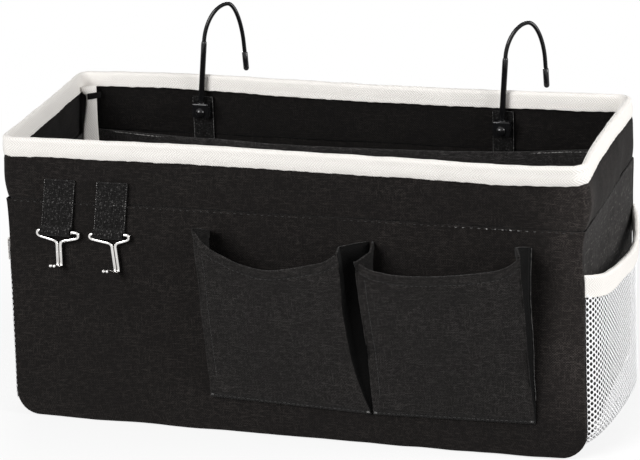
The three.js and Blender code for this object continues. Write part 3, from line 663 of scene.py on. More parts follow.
# Collar and rim

# The rim's corners in order: which way each lies, and its radius where it is full and where it is tight
CORNERS = ((-1, 1), (-1, -1), (1, -1), (1, 1))
FULL_CORNERS = np.array([8.0, 8.0, 7.5, 9.0])
TIGHT_CORNERS = np.array([3.0, 3.0, 2.5, 3.0])
CORNER_STEPS = 14
SIDE_STEPS = (38, 98)
RIM_TAPE_WIDTH = 27.0
RIM_STITCH = 6.3
# How much shorter the tape's inner leg is at the back left, the left and the front right. Below 0, longer
BACK_LEFT_LEG = 1.6
LEFT_LEG = -0.9
RIGHT_LEG = -0.6


def rim_plan(depth, radii):
    """Points and outward normals once round the rim, from its back left corner through the front."""
    reach = np.array([HALF_WIDTH - depth, BACK - depth])
    turn = np.linspace(0, math.pi / 2, CORNER_STEPS)
    arcs, outs = [], []
    for k, (corner, radius) in enumerate(zip(CORNERS, radii)):
        angle = math.pi / 2 * (k + 1) + turn
        outs.append(points_of(np.cos(angle), np.sin(angle)))
        arcs.append(corner * (reach - radius) + outs[k] * radius)
    points, normals = [], []
    for k in range(4):
        start, end = arcs[k][-1], arcs[(k + 1) % 4][0]
        share = np.linspace(0, 1, SIDE_STEPS[k % 2] + 2)[1:-1, None]
        points += [arcs[k], start + (end - start) * share]
        normals += [outs[k], np.repeat(outs[k][-1:], len(share), 0)]
    return np.concatenate(points), np.concatenate(normals)


def rim_grid(offsets, heights, fullness):
    """A band round the rim, in columns: each one's way out, its height and how full its corners are."""
    columns = []
    for offset, height, full in zip(offsets, heights, fullness):
        points, out = rim_plan(COLLAR_DEPTH, TIGHT_CORNERS + (FULL_CORNERS - TIGHT_CORNERS) * full)
        columns.append(points_of(*(points + out * offset).T, height))
    return np.stack(columns, axis=1)


def make_collar():
    """Below the stitched line the collar is tucked behind the walls; above it, it comes out flush."""
    knots = [(COLLAR_FOOT, 0.6), (STITCH - 0.4, 0.6), (STITCH + 0.7, 1.95), (STITCH + 4, 2.05),
             (RIM_FOOT - 3, 1.8), (RIM_FOOT + 1.5, 0.9), (RIM_TOP - 1.5, 0.7)]
    heights = np.concatenate([
        [COLLAR_FOOT, STITCH - 4],
        STITCH + np.array([-0.6, -0.2, 0.1, 0.4, 0.8, 1.4, 2.4]),
        np.linspace(STITCH + 4, RIM_FOOT - 3, 10),
        [RIM_FOOT - 1, RIM_FOOT + 1.5, RIM_TOP - 1.5],
    ])
    offsets = np.interp(heights, *np.array(knots).T)
    grid = rim_grid(offsets, heights, 0.6 * smooth(heights, STITCH + 10, RIM_FOOT + 2))
    grid = slouch(rumple(grid, 34.0, 1.1, 31.0, closed=True))
    cloth("collar_cloth", "collar", grid, offsets[None, :] + 0.6, BLACK_CANVAS, "canvas", closed=True,
          flat=(GIRTH, RIM_TOP - COLLAR_FOOT), held="stretched", rests_on=["rim_tape"])


def make_rim_tape():
    """Twill tape folded over the rim. Its edges are drawn up a little at each stitch."""
    half, crown, crown_height = 2.5, RIM_TOP - 2.5, 2.8
    turn = np.linspace(0, math.pi, 13)
    legs = np.array([0.0, 0.5, 1.5, 3.0, 5.0, 7.0, 9.0])
    belly = np.sin(legs / legs[-1] * math.pi)
    inner = half + 0.3 * belly - 0.35 * np.exp(-(((legs - 4) / 1.2) ** 2))
    offsets = np.concatenate([half + 0.45 * belly, half * np.cos(turn), -inner[::-1]])
    heights = np.concatenate([
        RIM_FOOT + 0.1 + legs,
        crown + crown_height * np.sin(turn),
        RIM_FOOT + 0.8 + legs[::-1] * 0.95,
    ])
    grid = rim_grid(offsets, heights, np.ones(len(offsets)))
    run = grid_lengths(grid, closed=True)[:-1, 0, 0]
    scallop = 0.45 * np.abs(np.sin(run * math.pi / RIM_STITCH))
    wander = 0.55 * np.array([noise.noise(Vector((s / 30, 0, 4))) for s in run])
    foot = np.zeros(len(heights))
    foot[:3], foot[-3:] = (1, 0.9, 0.5), (0.5, 0.9, 1)
    grid[..., 2] += (scallop + wander)[:, None] * foot[None, :]
    x, y = grid[:, -1, 0], grid[:, -1, 1]
    short = BACK_LEFT_LEG * smooth(-x, 20, 170) * (y > 0)
    at_side = HALF_WIDTH - 14, HALF_WIDTH - 7
    short += (LEFT_LEG - short) * smooth(-x, *at_side)
    short += RIGHT_LEG * smooth(x, *at_side) * (1 - smooth(y, -30, 30))
    grid[:, -len(legs):, 2] += short[:, None] * (1 - legs[::-1] / legs[-1])
    grid = slouch(rumple(grid, 12.0, 0.35, 51.0, closed=True))
    cloth("rim_tape", "rim_binding", grid, TAPE, TWILL_TAPE, "binding_tape", closed=True,
          flat=(GIRTH, RIM_TAPE_WIDTH), held="folded", rests_on=["collar_cloth"])


# Inside

# Height of the back lining's upper edge over the stitched line, by place across
LEDGE = [(-196, 3.2), (-182, 2.9), (-147, 1.0), (-90, -0.6), (-35, -2.0), (38, -1.2), (131, 2.8),
         (166, 5.7), (196, 6.2)]
# Where along the back lining's upper edge pale stitches stand in for a painted highlight
LEDGE_GLINTS = ((-176, -132), (126, 190))
LINING_INSET = 6.0
LINING_STEP = 6.0
LINING_FINE = (0, 0.3, 0.8, 1.6, 4.0)
LINING_SEAM = 3.0
LINING_HEM = 8.0
LINING_HEM_RAMP = 2.5
LINING_HEM_THICK = 1.1
LINING_LEAN = 1.2
LINING_LEAN_HEIGHT = 40.0


def make_linings():
    strip_low, strip_high = box("gusset_lining")
    half = strip_high[0] - 1.5
    for side, toward in (("front", 1), ("back", -1)):
        low, high = box(f"{side}_lining")
        height = high[2] - low[2]
        x = spaced(2 * half, LINING_STEP) - half
        z = low[2] + LINING_SEAM + spaced(height - LINING_SEAM, LINING_STEP, LINING_FINE)
        grid = lattice(x, high[1] if toward > 0 else low[1], z)
        hem = np.clip((z - (high[2] - LINING_HEM)) / LINING_HEM_RAMP, 0, 1) * LINING_HEM_THICK
        lean = np.clip((z - (high[2] - LINING_LEAN_HEIGHT)) / LINING_LEAN_HEIGHT, 0, 1) ** 2 * LINING_LEAN
        grid[..., 1] += toward * (hem + lean - eased(high[2] - z, 1.0))[None, :]
        grid = slouch(rumple(grid if toward < 0 else grid[::-1], 36.0, 0.7, 61.0 + toward))
        if side == "back":
            grid[..., 2] += through(LEDGE, grid[..., 0]) * smooth(grid[..., 2], STITCH - 60, STITCH - 8)
        cloth(f"{side}_lining_cloth", f"{side}_lining", grid, LINING + hem[None, :], LINING_CLOTH, "lining",
              flat=(2 * half, height), held="stretched", rests_on=[f"{side}_board_sheet"])
        if side == "back":
            make_ledge_stitches(grid[:, -4] + [0, -0.2, 0.2])
    radius = CORNER_RADIUS - strip_low[2]
    from_y, to_y = strip_low[1] + LINING_INSET, strip_high[1] - LINING_INSET
    grid = gusset_grid(strip_high[0] - LINING, strip_low[2] + LINING, strip_high[2], radius - LINING,
                       from_y, to_y, 0.5)
    inside = slouch(rumple(grid[:, ::-1], 36.0, 0.3, 77.0))
    girth = strip_length(strip_high[0], strip_high[2] - strip_low[2], radius)
    cloth("gusset_lining_cloth", "gusset_lining", inside, LINING, LINING_CLOTH, "lining",
          flat=(to_y - from_y, girth), held="stretched", rests_on=["base_board_sheet"])


def make_ledge_stitches(edge):
    """Pale thread along both ends of the back lining's upper edge, a painted highlight where the edge
    catches light.
    """
    ends = [edge[(edge[:, 0] > a) & (edge[:, 0] < b)] for a, b in LEDGE_GLINTS]
    rows = [stitches(line, (0, -0.7, 0.7), pitch=2.4, length=2.3, radius=0.3) for line in ends]
    make_piece("lining_glint_stitches", *joined(rows), PALE_GLINT_THREAD, "lining")


CORNER_TAPE_HALF = 5.7
CORNER_TAPE_THIN = 1.1
# Slant of each side's tape across the corner, and how far in from the box's side and the lining it lies
CORNER_TAPE_SET = {"left": (0.62, 9.9, 3.0), "right": (1.8, 6.6, 5.4)}
TACK_DROP = 2.3
TACK_REACH = 22.0
TACK_PINCH = 0.42
TACK_THREADS = 7


def make_corner_tapes():
    """Twill tape across the seam in each inside corner, drawn together by a black bar tack near its top."""
    tacks = []
    turn = np.linspace(0, 2 * math.pi, 28, endpoint=False)
    corners = [(wall, -WALLS[wall], side, SIDES[side]) for wall in WALLS for side in SIDES]
    for wall, toward, side, sign in corners:
        low, high = box(f"corner_binding_{wall}_{side}")
        skew, aside, inward = CORNER_TAPE_SET[side]
        inner_y = high[1] if toward > 0 else low[1]
        centre = np.array([sign * (HALF_WIDTH - aside), inner_y + toward * inward])
        across = unit(np.array([sign, toward * skew]))
        through_wall = unit(np.array([-sign * skew, toward]))
        z = low[2] + spaced(high[2] - low[2], 5.0, fine=(0, 0.8, 2.0, 4.0))
        z = np.concatenate([z, [RIM_FOOT + 4.5]])
        tack_height = high[2] - TACK_DROP
        below = np.where(z < tack_height, (tack_height - z) / TACK_REACH, (z - tack_height) / 3.0)
        pinch = 1 - TACK_PINCH * np.exp(-(below**2))
        sway = 0.6 * np.sin(z / 17.0) + 0.4 * np.sin(z / 7.3 + 1)
        rings = []
        for height, squeeze, shift in zip(z, pinch, sway):
            flat = np.outer(CORNER_TAPE_HALF * (squeeze * np.cos(turn) + squeeze - 1), across)
            thick = np.outer(CORNER_TAPE_THIN * np.sin(turn) + shift * 0.4, through_wall)
            rings.append(points_of(*(centre + flat + thick).T, height))
        grid = np.array(rings).transpose(1, 0, 2)
        grid = slouch(grid[::-1] if sign * toward > 0 else grid)
        cloth(f"corner_tape_{wall}_{side}", f"corner_binding_{wall}_{side}", grid, TAPE * 0.6, TWILL_TAPE,
              "binding_tape", closed=True,
              flat=(4 * CORNER_TAPE_HALF, high[2] - low[2]), held="folded",
              rests_on=[f"{wall}_lining_cloth"])
        d = np.linspace(-4.6, 4.8, 9) - 4.2
        plan = centre + np.outer(d, across) + np.outer(1.7 - 0.01 * d * d, through_wall)
        for k in range(TACK_THREADS):
            line = points_of(*plan.T, tack_height + (k - TACK_THREADS // 2) * 0.6)
            tacks.append(tube_mesh(slouch(line), 0.45, sides=8))
    make_piece("corner_bar_tacks", *joined(tacks), TACK_THREAD, "webbing")


# Front pockets

POCKETS = {
    # taper: how far the left and right front edges draw in, by height
    # seam: how far the right-hand seam does; fold: how deep the left and right gussets tuck in
    # aside: how far the left and right edges lie from the sewn ones; foot: rise of the lower corners
    # mouth: height over the sewn top, across the front; ear: the same across the right gusset, wall first
    "left": {
        "taper": ([(0, 0), (1, 0.3)],
                  [(0, 0), (0.1, 4.2), (0.2, 7.6), (0.33, 10.8), (0.5, 13.3), (0.75, 14.8), (1, 15),
                   (1.1, 15)]),
        "seam": [(0, 0), (1, 0)],
        "fold": {-1: 6.0, 1: 9.0},
        "aside": (2.8, 0.0),
        "foot": (1.7, -1.7),
        "mouth": [(0, 12), (0.035, 4.5), (0.1, -2), (0.2, -7.6), (0.36, -14.3), (0.5, -16.2), (0.66, -14),
                  (0.82, -9.8), (0.92, -6.6), (0.97, -3.2), (1, -1)],
        "ear": [(0, 0), (1, -1)],
    },
    "right": {
        "taper": ([(0, 0), (0.33, -1.1), (0.5, -2.6), (0.75, -4.4), (1, -6), (1.1, -6.4)],
                  [(0, 0), (0.15, 0.8), (0.33, 1.7), (0.5, 2.3), (0.75, 2.9), (1, 3.2), (1.1, 3.2)]),
        "seam": [(0, 0), (0.15, 0.2), (0.37, 0.7), (0.62, 2.2), (0.83, 2.8), (1, 1.3), (1.1, 1.0)],
        "fold": {-1: 4.5, 1: 6.0},
        "aside": (0.0, 1.2),
        "foot": (-1.7, 0.7),
        "mouth": [(0, -6), (0.06, -9.8), (0.18, -13.2), (0.34, -13.6), (0.55, -11.2), (0.75, -8),
                  (0.9, -3.8), (0.97, 1.2), (1, 5.5)],
        "ear": [(0, 2.4), (0.5, 6.5), (1, 5.5)],
    },
}
POCKET_FLOOR = 23.6
POCKET_TOP = STITCH - 14.5
POCKET_DEPTH = 24.0
POCKET_SPACE = 1.3
POCKET_CROWN = 3.0
POCKET_FOLDS = 9
# Painted shade on the gussets' outer faces where they fold in, on the scale of the inner faces' painted
# shade
FOLD_SHADE = 1.8
HEM = 6.7
HEM_PUFF = 0.55
HEM_EDGE = 1.2
HEM_GROOVE = 0.45
HEM_GROOVE_WIDTH = 0.7
POCKET_CALM = 14.0


def pocket_grid(side):
    """One bellows pocket: a folded gusset, the front, and the other gusset, from seam to mouth."""
    low, high = box(f"front_pocket_{side}")
    shape = POCKETS[side]
    left, right = low[0] + shape["aside"][0], high[0] + shape["aside"][1]
    if side == "right":
        left = box("front_pocket_left")[1][0] + POCKET_SPACE
    mouth = shape["mouth"]
    fold = np.linspace(0, 1, POCKET_FOLDS)
    front = spaced(100, 3.0, fine=(0, 0.6, 1.4, 2.4)) / 100
    stations = [(-1, g, 0.0, mouth[0][1] * g) for g in fold[:-1]]
    stations += [(0, 1.0, f, h) for f, h in zip(front, through(mouth, front))]
    stations += [(1, g, 1.0, h) for g, h in zip(fold, through(shape["ear"], fold))][-2::-1]
    hem = np.array([0, 0.4, 1.2, 2.6, 4.2, HEM - 1.2, HEM - 0.5, HEM, HEM + 0.5, HEM + 1.2, HEM + 3])
    grid, thickness = [], []
    for edge, out, across, rise in stations:
        top = POCKET_TOP + rise
        floor = POCKET_FLOOR + shape["foot"][0] * (1 - across) + shape["foot"][1] * across
        body = np.linspace(0, 1, 26)[:-1] ** 0.9 * (top - hem[-1] - floor)
        z = np.concatenate([floor + body, (top - hem)[::-1]])
        drop = top - z
        opened = (z - floor) / (POCKET_TOP - floor)
        puff = HEM_PUFF * np.clip((HEM - drop) / HEM_EDGE, 0, 1)
        puff = puff - HEM_GROOVE * np.exp(-(((drop - HEM) / HEM_GROOVE_WIDTH) ** 2))
        depth = CANVAS + 0.4 + (POCKET_DEPTH - 0.4) * opened
        bow = POCKET_CROWN * opened * math.sin(math.pi * across) if edge == 0 else 0
        drawn_left, drawn_right = (through(line, opened) * out for line in shape["taper"])
        x0 = left + drawn_left
        x1 = right - drawn_right - through(shape["seam"], opened) * (1 - out)
        crease = 1 - abs(2 * out - 1)
        tuck = -edge * shape["fold"].get(edge, 0) * np.clip(opened, 0, 1.1) * crease
        x = x0 + (x1 - x0) * (across if edge == 0 else (edge + 1) / 2) + tuck
        y = FRONT - 0.3 - (depth + bow) * out - puff * (edge == 0)
        grid.append(points_of(x, y, z))
        thickness.append(CANVAS * 0.8 + np.clip(puff, 0, 1))
    return np.array(grid), np.array(thickness)


def make_pockets():
    for side, seed in (("left", 83.0), ("right", 97.0)):
        still, thickness = pocket_grid(side)
        grid = rumple(rumple(still, 30.0, 0.9, seed), 11.0, 0.35, seed + 5)
        calm = np.clip((grid[..., 2:] - POCKET_FLOOR) / POCKET_CALM, 0, 1)
        grid = still + (grid - still) * calm
        grid[..., 1] = np.minimum(grid[..., 1], FRONT - 0.15)
        grid = slouch(grid)
        # Painted shade on the rows of the folded gussets
        fold_shade_rows = np.zeros(len(grid) - 1)
        fold_shade_rows[:POCKET_FOLDS - 1] = fold_shade_rows[1 - POCKET_FOLDS:] = FOLD_SHADE
        width = grid_lengths(grid)[:, -1, 0].max()
        cloth(f"front_pocket_{side}_cloth", f"front_pocket_{side}", grid, thickness, POCKET_LIT_CANVAS,
              "canvas", shaded=fold_shade_rows,
              flat=(width, POCKET_TOP - POCKET_FLOOR), held="hung", rests_on=["front_wall"])
        make_pocket_stitches(side, grid)


def make_pocket_stitches(side, grid):
    """Stitching along the hem, the foot and the left front edge, with a bar tack at each lower corner."""
    out = grid_normals(grid)
    first, last = POCKET_FOLDS - 1, len(grid) - POCKET_FOLDS
    front = slice(first, last + 1)
    hem = grid.shape[1] - 8
    foot = grid[front, 0] * 0.7 + grid[front, 1] * 0.3 + [0, -0.1, 0]
    rows = [
        stitches(grid[front, hem], out[front, hem], pitch=3.2, radius=0.2),
        stitches(foot, (0, -1, 0), pitch=3.2, radius=0.2),
        stitches(grid[first + 4, 3:hem], out[first + 4, 3:hem], pitch=2.4, length=2.0, radius=0.2),
    ]
    make_piece(f"front_pocket_{side}_stitches", *joined(rows), DARK_THREAD, "canvas")
    if side == "right":
        # A grey thread along the right seam: a painted highlight on the seam's edge
        seam = grid[-1, 3:-1] + [0.3, -0.5, 0]
        make_piece("front_pocket_right_seam", *tube_mesh(seam, 0.36, sides=8), SEAM_GLINT_THREAD, "canvas")
    # The bar tacks are in a lighter grey thread: painted glints
    tacks = []
    for end, inward in ((0, 1), (-1, -1)):
        for k in range(3):
            centre = foot[end] + [inward * 1.6, -0.3, (k - 1) * 0.45]
            tacks.append(tube_mesh(centre + points_of((-0.9, 0, 0.9), 0, 0), 0.2, sides=6))
    make_piece(f"front_pocket_{side}_tacks", *joined(tacks), EDGE_GLINT_THREAD, "canvas")


# Mesh pockets

# By place from the front seam (-1) to the back seam (1): how far the net stands out, how far its edge sags,
# how high its foot is sewn and how deep its tape is
MESH_BELLY = [(-1, 0), (-0.97, 3.4), (-0.92, 6.0), (-0.8, 8.7), (-0.6, 10.8), (-0.26, 11.9), (0.12, 11.9),
              (0.34, 11.2), (0.65, 7.5), (0.88, 3.2), (1, 0)]
MESH_SAG = [(-1, 1.8), (-0.92, 3.0), (-0.8, 5.4), (-0.6, 7.7), (-0.26, 11.2), (0.12, 15.2), (0.34, 15.6),
            (0.65, 12.9), (0.88, 9.2), (1, 6.2)]
MESH_FOOT = [(-1, 8.5), (-0.6, 7.0), (-0.2, 3.5), (0.2, 0.5), (0.5, 0), (1, 0)]
MESH_DROP = [(-1, 13.6), (-0.8, 13.3), (-0.3, 11), (0, 10.9), (1, 10.9)]
MESH_SLACK = {-1: 0.3, 1: 1.0}
MESH_FULL = 0.2
MESH_TURN = 11.0
MESH_TURN_SHARE = 0.15
MESH_COLUMN = 2.25
MESH_ROW = 4.0
HOLE = (1.12, 1.38)
HEXAGON = ((2, 0), (1, 1), (-1, 1), (-2, 0), (-1, -1), (1, -1))
MESH_CREST = 0.17
MESH_THIN = 0.07
mesh_low, mesh_high = box("mesh_pocket_right")
MESH_HEIGHT = mesh_high[2] - mesh_low[2]


def mesh_place(across, rise, sign):
    """A place on a mesh pocket: across runs from -1 at the front to 1 at the back, rise from 0 to 1.

    Its foot lies against the gusset's rounded lower corner.
    """
    angle = np.clip(rise / MESH_TURN_SHARE, 0, 1) * math.pi / 2
    up = np.clip((rise - MESH_TURN_SHARE) / (1 - MESH_TURN_SHARE), 0, 1)
    belly = through(MESH_BELLY, across) * (1 + MESH_FULL * (1 - up)) * MESH_SLACK[sign]
    foot, sag = through(MESH_FOOT, across), through(MESH_SAG, across)
    straight = MESH_HEIGHT - MESH_TURN - foot - sag
    z = mesh_low[2] + foot + MESH_TURN * (1 - np.cos(angle)) + straight * up
    under = eased(mesh_low[2] + foot, CORNER_RADIUS)
    x = HALF_WIDTH + 0.5 + (belly + under) * np.sin(angle) - under
    return slouch(points_of(sign * x, across * (GUSSET_HALF + 0.4), z))


def mesh_out(across, rise, sign):
    """Which way the net faces at a place."""
    step = 0.004
    front, behind = (mesh_place(np.clip(across + d, -1, 1), rise, sign) for d in (-step, step))
    below, above = (mesh_place(across, np.clip(rise + d, 0, 1), sign) for d in (-step, step))
    return sign * unit(np.cross(behind - front, above - below))


def mesh_girth(sign):
    """Places across a mesh pocket, and the running length of its cloth up to each of them."""
    across = np.linspace(-1, 1, 400)
    return across, running_length(mesh_place(across, np.full(400, 0.5), sign))


def net_cells(columns, rows):
    """Six-sided cells that fill a rectangle: shared corners, each cell's ring and its hole's middle."""
    corners, cells = {}, []
    for column in range(columns):
        odd = column % 2
        for row in range(rows + odd):
            i, j = 3 * column + 1.5, 2 * row + 1 - odd
            ring = [corners.setdefault((i + di, j + dj), len(corners)) for di, dj in HEXAGON]
            whole = odd <= row < rows - 1 + odd
            cells.append((ring, np.array([i / 3, j / 2]) if whole else None))
    return np.clip(np.array(list(corners)) / [3, 2], 0, [columns, rows]), cells


def make_mesh_pockets():
    columns, rows = round(mesh_girth(1)[1][-1] / MESH_COLUMN), round(MESH_HEIGHT / MESH_ROW)
    corners, cells = net_cells(columns, rows)
    turn = np.arange(6) * math.pi / 3
    hole = points_of(HOLE[0] / MESH_COLUMN * np.cos(turn), HOLE[1] / MESH_ROW * np.sin(turn))
    flat, crest, count = [corners], [np.full(len(corners), MESH_CREST)], len(corners)
    front, bounds, edges = [], [], {}
    for ring, centre in cells:
        for a, b in zip(ring, ring[1:] + ring[:1]):
            edges[frozenset((a, b))] = None if frozenset((a, b)) in edges else (b, a)
        if centre is None:
            front.append(ring)
            continue
        rim = list(range(count, count + 6))
        count += 6
        flat.append(centre + hole)
        crest.append(np.full(6, MESH_THIN))
        for a, b, c, d in zip(ring, ring[1:] + ring[:1], rim[1:] + rim[:1], rim):
            front.append([a, b, c, d])
            bounds.append((d, c))
    bounds += [pair for pair in edges.values() if pair]
    back = [[k + count for k in face[::-1]] for face in front]
    walls = [[a, b, b + count, a + count] for a, b in bounds]
    flat, crest = np.concatenate(flat) / [columns, rows], np.concatenate(crest)
    rise = flat[:, 1]
    for side, sign in SIDES.items():
        places, run = mesh_girth(sign)
        width = run[-1]
        across = np.interp(flat[:, 0] * width, run, places)
        middle = mesh_place(across, rise, sign)
        out = mesh_out(across, rise, sign) * crest[:, None]
        net = make_piece(f"mesh_pocket_{side}_net", np.concatenate([middle + out, middle - out]),
                         front + back + walls, WHITE_YARN, "mesh", f"mesh_pocket_{side}")
        make_mesh_tape(side, sign)


def make_mesh_tape(side, sign):
    """Twill tape folded over the upper edge of a mesh pocket. Its ends are drawn into the seams."""
    fine = (0, 0.4, 0.9, 1.5, 2.2, 3.0, 4.0, 5.2, 6.6, 8.2, 10, 12)
    across = spaced(2 * GUSSET_HALF, CLOTH_STEP, fine) / GUSSET_HALF - 1
    edge = mesh_place(across, np.ones_like(across), sign)
    out_of = mesh_out(across, np.full_like(across, 0.97), sign) * [1, 1, 0]
    half, crown = 1.5, 1.3
    turn = np.linspace(0, math.pi, 9)
    hang = np.array([1.0, 0.96, 0.85, 0.6, 0.35, 0.1])
    leg = np.zeros(len(hang))
    out = np.concatenate([leg + half, half * np.cos(turn), leg - half])
    drop = np.concatenate([hang, np.zeros(len(turn)), hang[::-1]])
    rise = np.concatenate([leg, crown * np.sin(turn), leg])
    drawn_in = 0.3 + 0.7 * smooth(1 - np.abs(across), 0, 0.12)
    grid = np.repeat(edge[:, None, :], len(out), 1)
    grid += unit(out_of)[:, None, :] * np.outer(drawn_in, out)[..., None]
    grid[..., 2] += rise[None, :] - np.outer(through(MESH_DROP, across), drop)
    grid[:, [0, -1], 2] += 0.3 * np.abs(np.sin(across * GUSSET_HALF * math.pi / RIM_STITCH))[:, None]
    grid = rumple(grid if sign < 0 else grid[::-1], 14.0, 0.25, 113.0 + sign)
    cloth(f"mesh_tape_{side}", f"mesh_binding_{side}", grid, 0.5, TWILL_TAPE, "binding_tape",
          flat=(running_length(edge)[-1], 2 * MESH_DROP[0][1]), held="folded",
          rests_on=[f"mesh_pocket_{side}_net"])


# Key tabs and key hooks

KEY_STEM_HALF = 1.25
KEY_ARM_FALL = 3.2
KEY_REACH = 14.0
KEY_BENDS = (2.6, 2.6, 2.6, 5.0, 2.6)
# ring: half its width; drop: its depth; fall: down to the stem's foot; lift: of the tip; lean: in degrees
# stem, foot and tip: how far each lies to the right; tab: shift of the tab at its foot and top
KEYS = {
    "left": {"ring": 14.6, "drop": 3.8, "fall": 26.5, "lift": 6.7, "lean": -1.5,
             "stem": 0.4, "foot": 0.5, "tip": 0.5, "tab": (-2.2, 3.1)},
    "right": {"ring": 13.9, "drop": 3.3, "fall": 28.3, "lift": 7.1, "lean": 1.8,
              "stem": 2.5, "foot": 3.7, "tip": 0.4, "tab": (-1.0, 3.7)},
}


def key_route(key, mirror):
    """One half of a key hook's wire: from the bar round the ring, down the stem and out to the tip."""
    ring, half = mirror * key["ring"], mirror * KEY_STEM_HALF
    return [
        (ring, 0, 0),
        (ring, 0, -key["drop"]),
        (half + key["stem"], 0, -key["drop"] - KEY_ARM_FALL),
        (half + key["foot"], 0, -key["fall"]),
        (half + key["tip"], -KEY_REACH, key["lift"] - key["fall"]),
    ]


def make_key_hooks():
    for side, key in KEYS.items():
        route = key_route(key, -1)[::-1] + key_route(key, 1)
        turn = np.array(Matrix.Rotation(math.radians(-key["lean"]), 3, "Y"))
        line = bent(route, KEY_BENDS[::-1] + KEY_BENDS) @ turn.T + joint_place(f"{side}_key_hook_swing")
        make_piece(f"key_hook_{side}_wire", *tube_mesh(line, KEY_RADIUS), NICKEL, "nickel",
                   f"key_hook_{side}", f"{side}_key_hook")


def make_key_tabs():
    """A strip of canvas looped round the key hook's bar and sewn to the wall, with uneven edges."""
    rows = []
    thin, lap, step, round_bar, last_rows = 0.95, 12, 1.2, 1.62 * math.pi, 14
    for side, key in KEYS.items():
        low, high = box(f"key_tab_{side}")
        bar = joint_place(f"{side}_key_hook_swing")
        top, width = high[2], high[0] - low[0]
        radius = high[1] - bar[1] - thin / 2
        turn = np.linspace(0, round_bar, 19)
        loop = points_of(0, bar[1] + radius * np.cos(-turn), bar[2] + radius * np.sin(-turn))
        back = points_of(0, high[1] - thin / 2, np.linspace(top, bar[2] + 1, lap))
        front = points_of(0, high[1] - 1.5 * thin - 0.15, np.linspace(bar[2] + 6.5, top + 0.6, lap))
        y, z = resampled(np.concatenate([back, loop, front]), step)[:, 1:].T
        across = spaced(width, 1.5, fine=(0, 0.3, 0.8)) - width / 2
        lean = np.interp(z, [bar[2] - 4, top], key["tab"])
        ragged = 0.45 * np.array([noise.noise(Vector((at * 0.9, k, low[0]))) for k, at in enumerate(z)])
        x = (low[0] + high[0]) / 2 + lean[:, None] + across[None, :] * (1 + ragged[:, None] / width)
        grid = rumple(points_of(x, y[:, None], z[:, None]), 9.0, 0.12, 131.0)
        cloth(f"key_tab_{side}_cloth", f"key_tab_{side}", grid + grid_normals(grid) * thin / 2, thin,
              STRAP_CLOTH, "webbing", flat=(width, grid_lengths(grid)[-1, 0, 0]), held="folded",
              rests_on=["front_wall", f"key_hook_{side}_wire"])
        row = len(z) - last_rows + int(np.argmin(np.abs(z[-last_rows:] - (STITCH - 1))))
        line = grid[row] + [0, -thin / 2 - 0.05, 0]
        rows.append(stitches(line, (0, -1, 0), pitch=6.2, length=0.9, radius=0.16))
        lower = len(z) - round((top - bar[2]) / step)
        for column in (0, -1):
            line = grid[lower:, column] + [0, -thin / 2, 0]
            rows.append(stitches(line, (0, -1, 0), pitch=1.7, length=0.9, radius=0.15))
    make_piece("key_tab_stitches", *joined(rows), PALE_GLINT_THREAD, "webbing")


# Hanging hooks

HOOK_HEADING = math.radians(30)
SLEEVE_STANDOFF = 0.6
STEM_RISE = 45.0
STEM_LEAN = {"left": 4.3, "right": 3.1}
ARCH_WIDTH = 28.7
ARCH_HEIGHT = {"left": 25.6, "right": 23.2}
ARCH_PEAK = {"left": 18.0, "right": 16.3}
ARCH_FALL = 5.0
ARCH_FULLNESS = 0.5
TIP_FLARE = 1.1
TIP_RISE = 20.2
CAP_LENGTH = 14.0
# Painted shade on the hook straps' outer faces, which sit inside the bag
STRAP_SHADE = 1.5
PLATE_BEVEL = 1.1
RIVET_RADIUS = 3.4
RIVET_RISE = 2.2


def arch_half(leg_start, end, peak):
    """Half of a hook's arch: leaves its end in line with the leg below and reaches the peak level."""
    rise = (end - leg_start) * ARCH_FULLNESS * (peak[2] - end[2]) / (end[2] - leg_start[2])
    level = np.array([(end[0] - peak[0]) * ARCH_FULLNESS, 0, 0])
    return bezier(end, end + rise, peak + level, peak)


def make_hook(side):
    """A bent wire that swivels in its plate, with a sleeve on its stem and a round cap on its tip."""
    root, stem = np.array([0, 0, -4.0]), np.array([0, 0, SLEEVE_STANDOFF])
    foot = np.array([STEM_LEAN[side], 0, STEM_RISE])
    peak = foot + [ARCH_PEAK[side], 0, ARCH_HEIGHT[side]]
    end = foot + [ARCH_WIDTH, 0, -ARCH_FALL]
    tip = np.array([end[0] + TIP_FLARE, 0, TIP_RISE])
    arch = np.concatenate([arch_half(stem, foot, peak), arch_half(tip, end, peak)[-2::-1]])
    wire = resampled(np.concatenate([[root, stem], arch, [tip + [0, 0, 3]]]), 0.9)
    length = np.linalg.norm(foot - stem)
    bore, lip = WIRE_RADIUS + 0.02, 0.35
    sleeve = [(bore, 0), (SLEEVE_RADIUS - lip, 0), (SLEEVE_RADIUS, lip), (SLEEVE_RADIUS, length - 2.5),
              (SLEEVE_RADIUS - 0.15, length - 1.0), (WIRE_RADIUS + 0.1, length), (bore, length)]
    cap = dome(SLEEVE_RADIUS, SLEEVE_RADIUS)
    cap += [(SLEEVE_RADIUS, CAP_LENGTH - 0.5), (SLEEVE_RADIUS - 0.2, CAP_LENGTH), (WIRE_RADIUS, CAP_LENGTH)]
    turn = np.array(Matrix.Rotation(HOOK_HEADING, 3, "Z"))
    wire, stem, foot, tip, end = (p @ turn.T + joint_place(f"{side}_hook_swivel")
                                  for p in (wire, stem, foot, tip, end))
    pieces = [("wire", "bar", tube_mesh(wire, WIRE_RADIUS, sides=18), COATED_WIRE, "black_wire"),
              ("sleeve", "tube", turned(sleeve, stem, foot), GLOSS_BLACK, "black_plastic"),
              ("cap", "tip", turned(cap, tip, end), GLOSS_BLACK, "black_plastic")]
    for node, shape, mesh, material, slot in pieces:
        make_piece(f"hook_{node}_{side}_{shape}", *mesh, material, slot, f"hook_{node}_{side}",
                   f"{side}_hook")


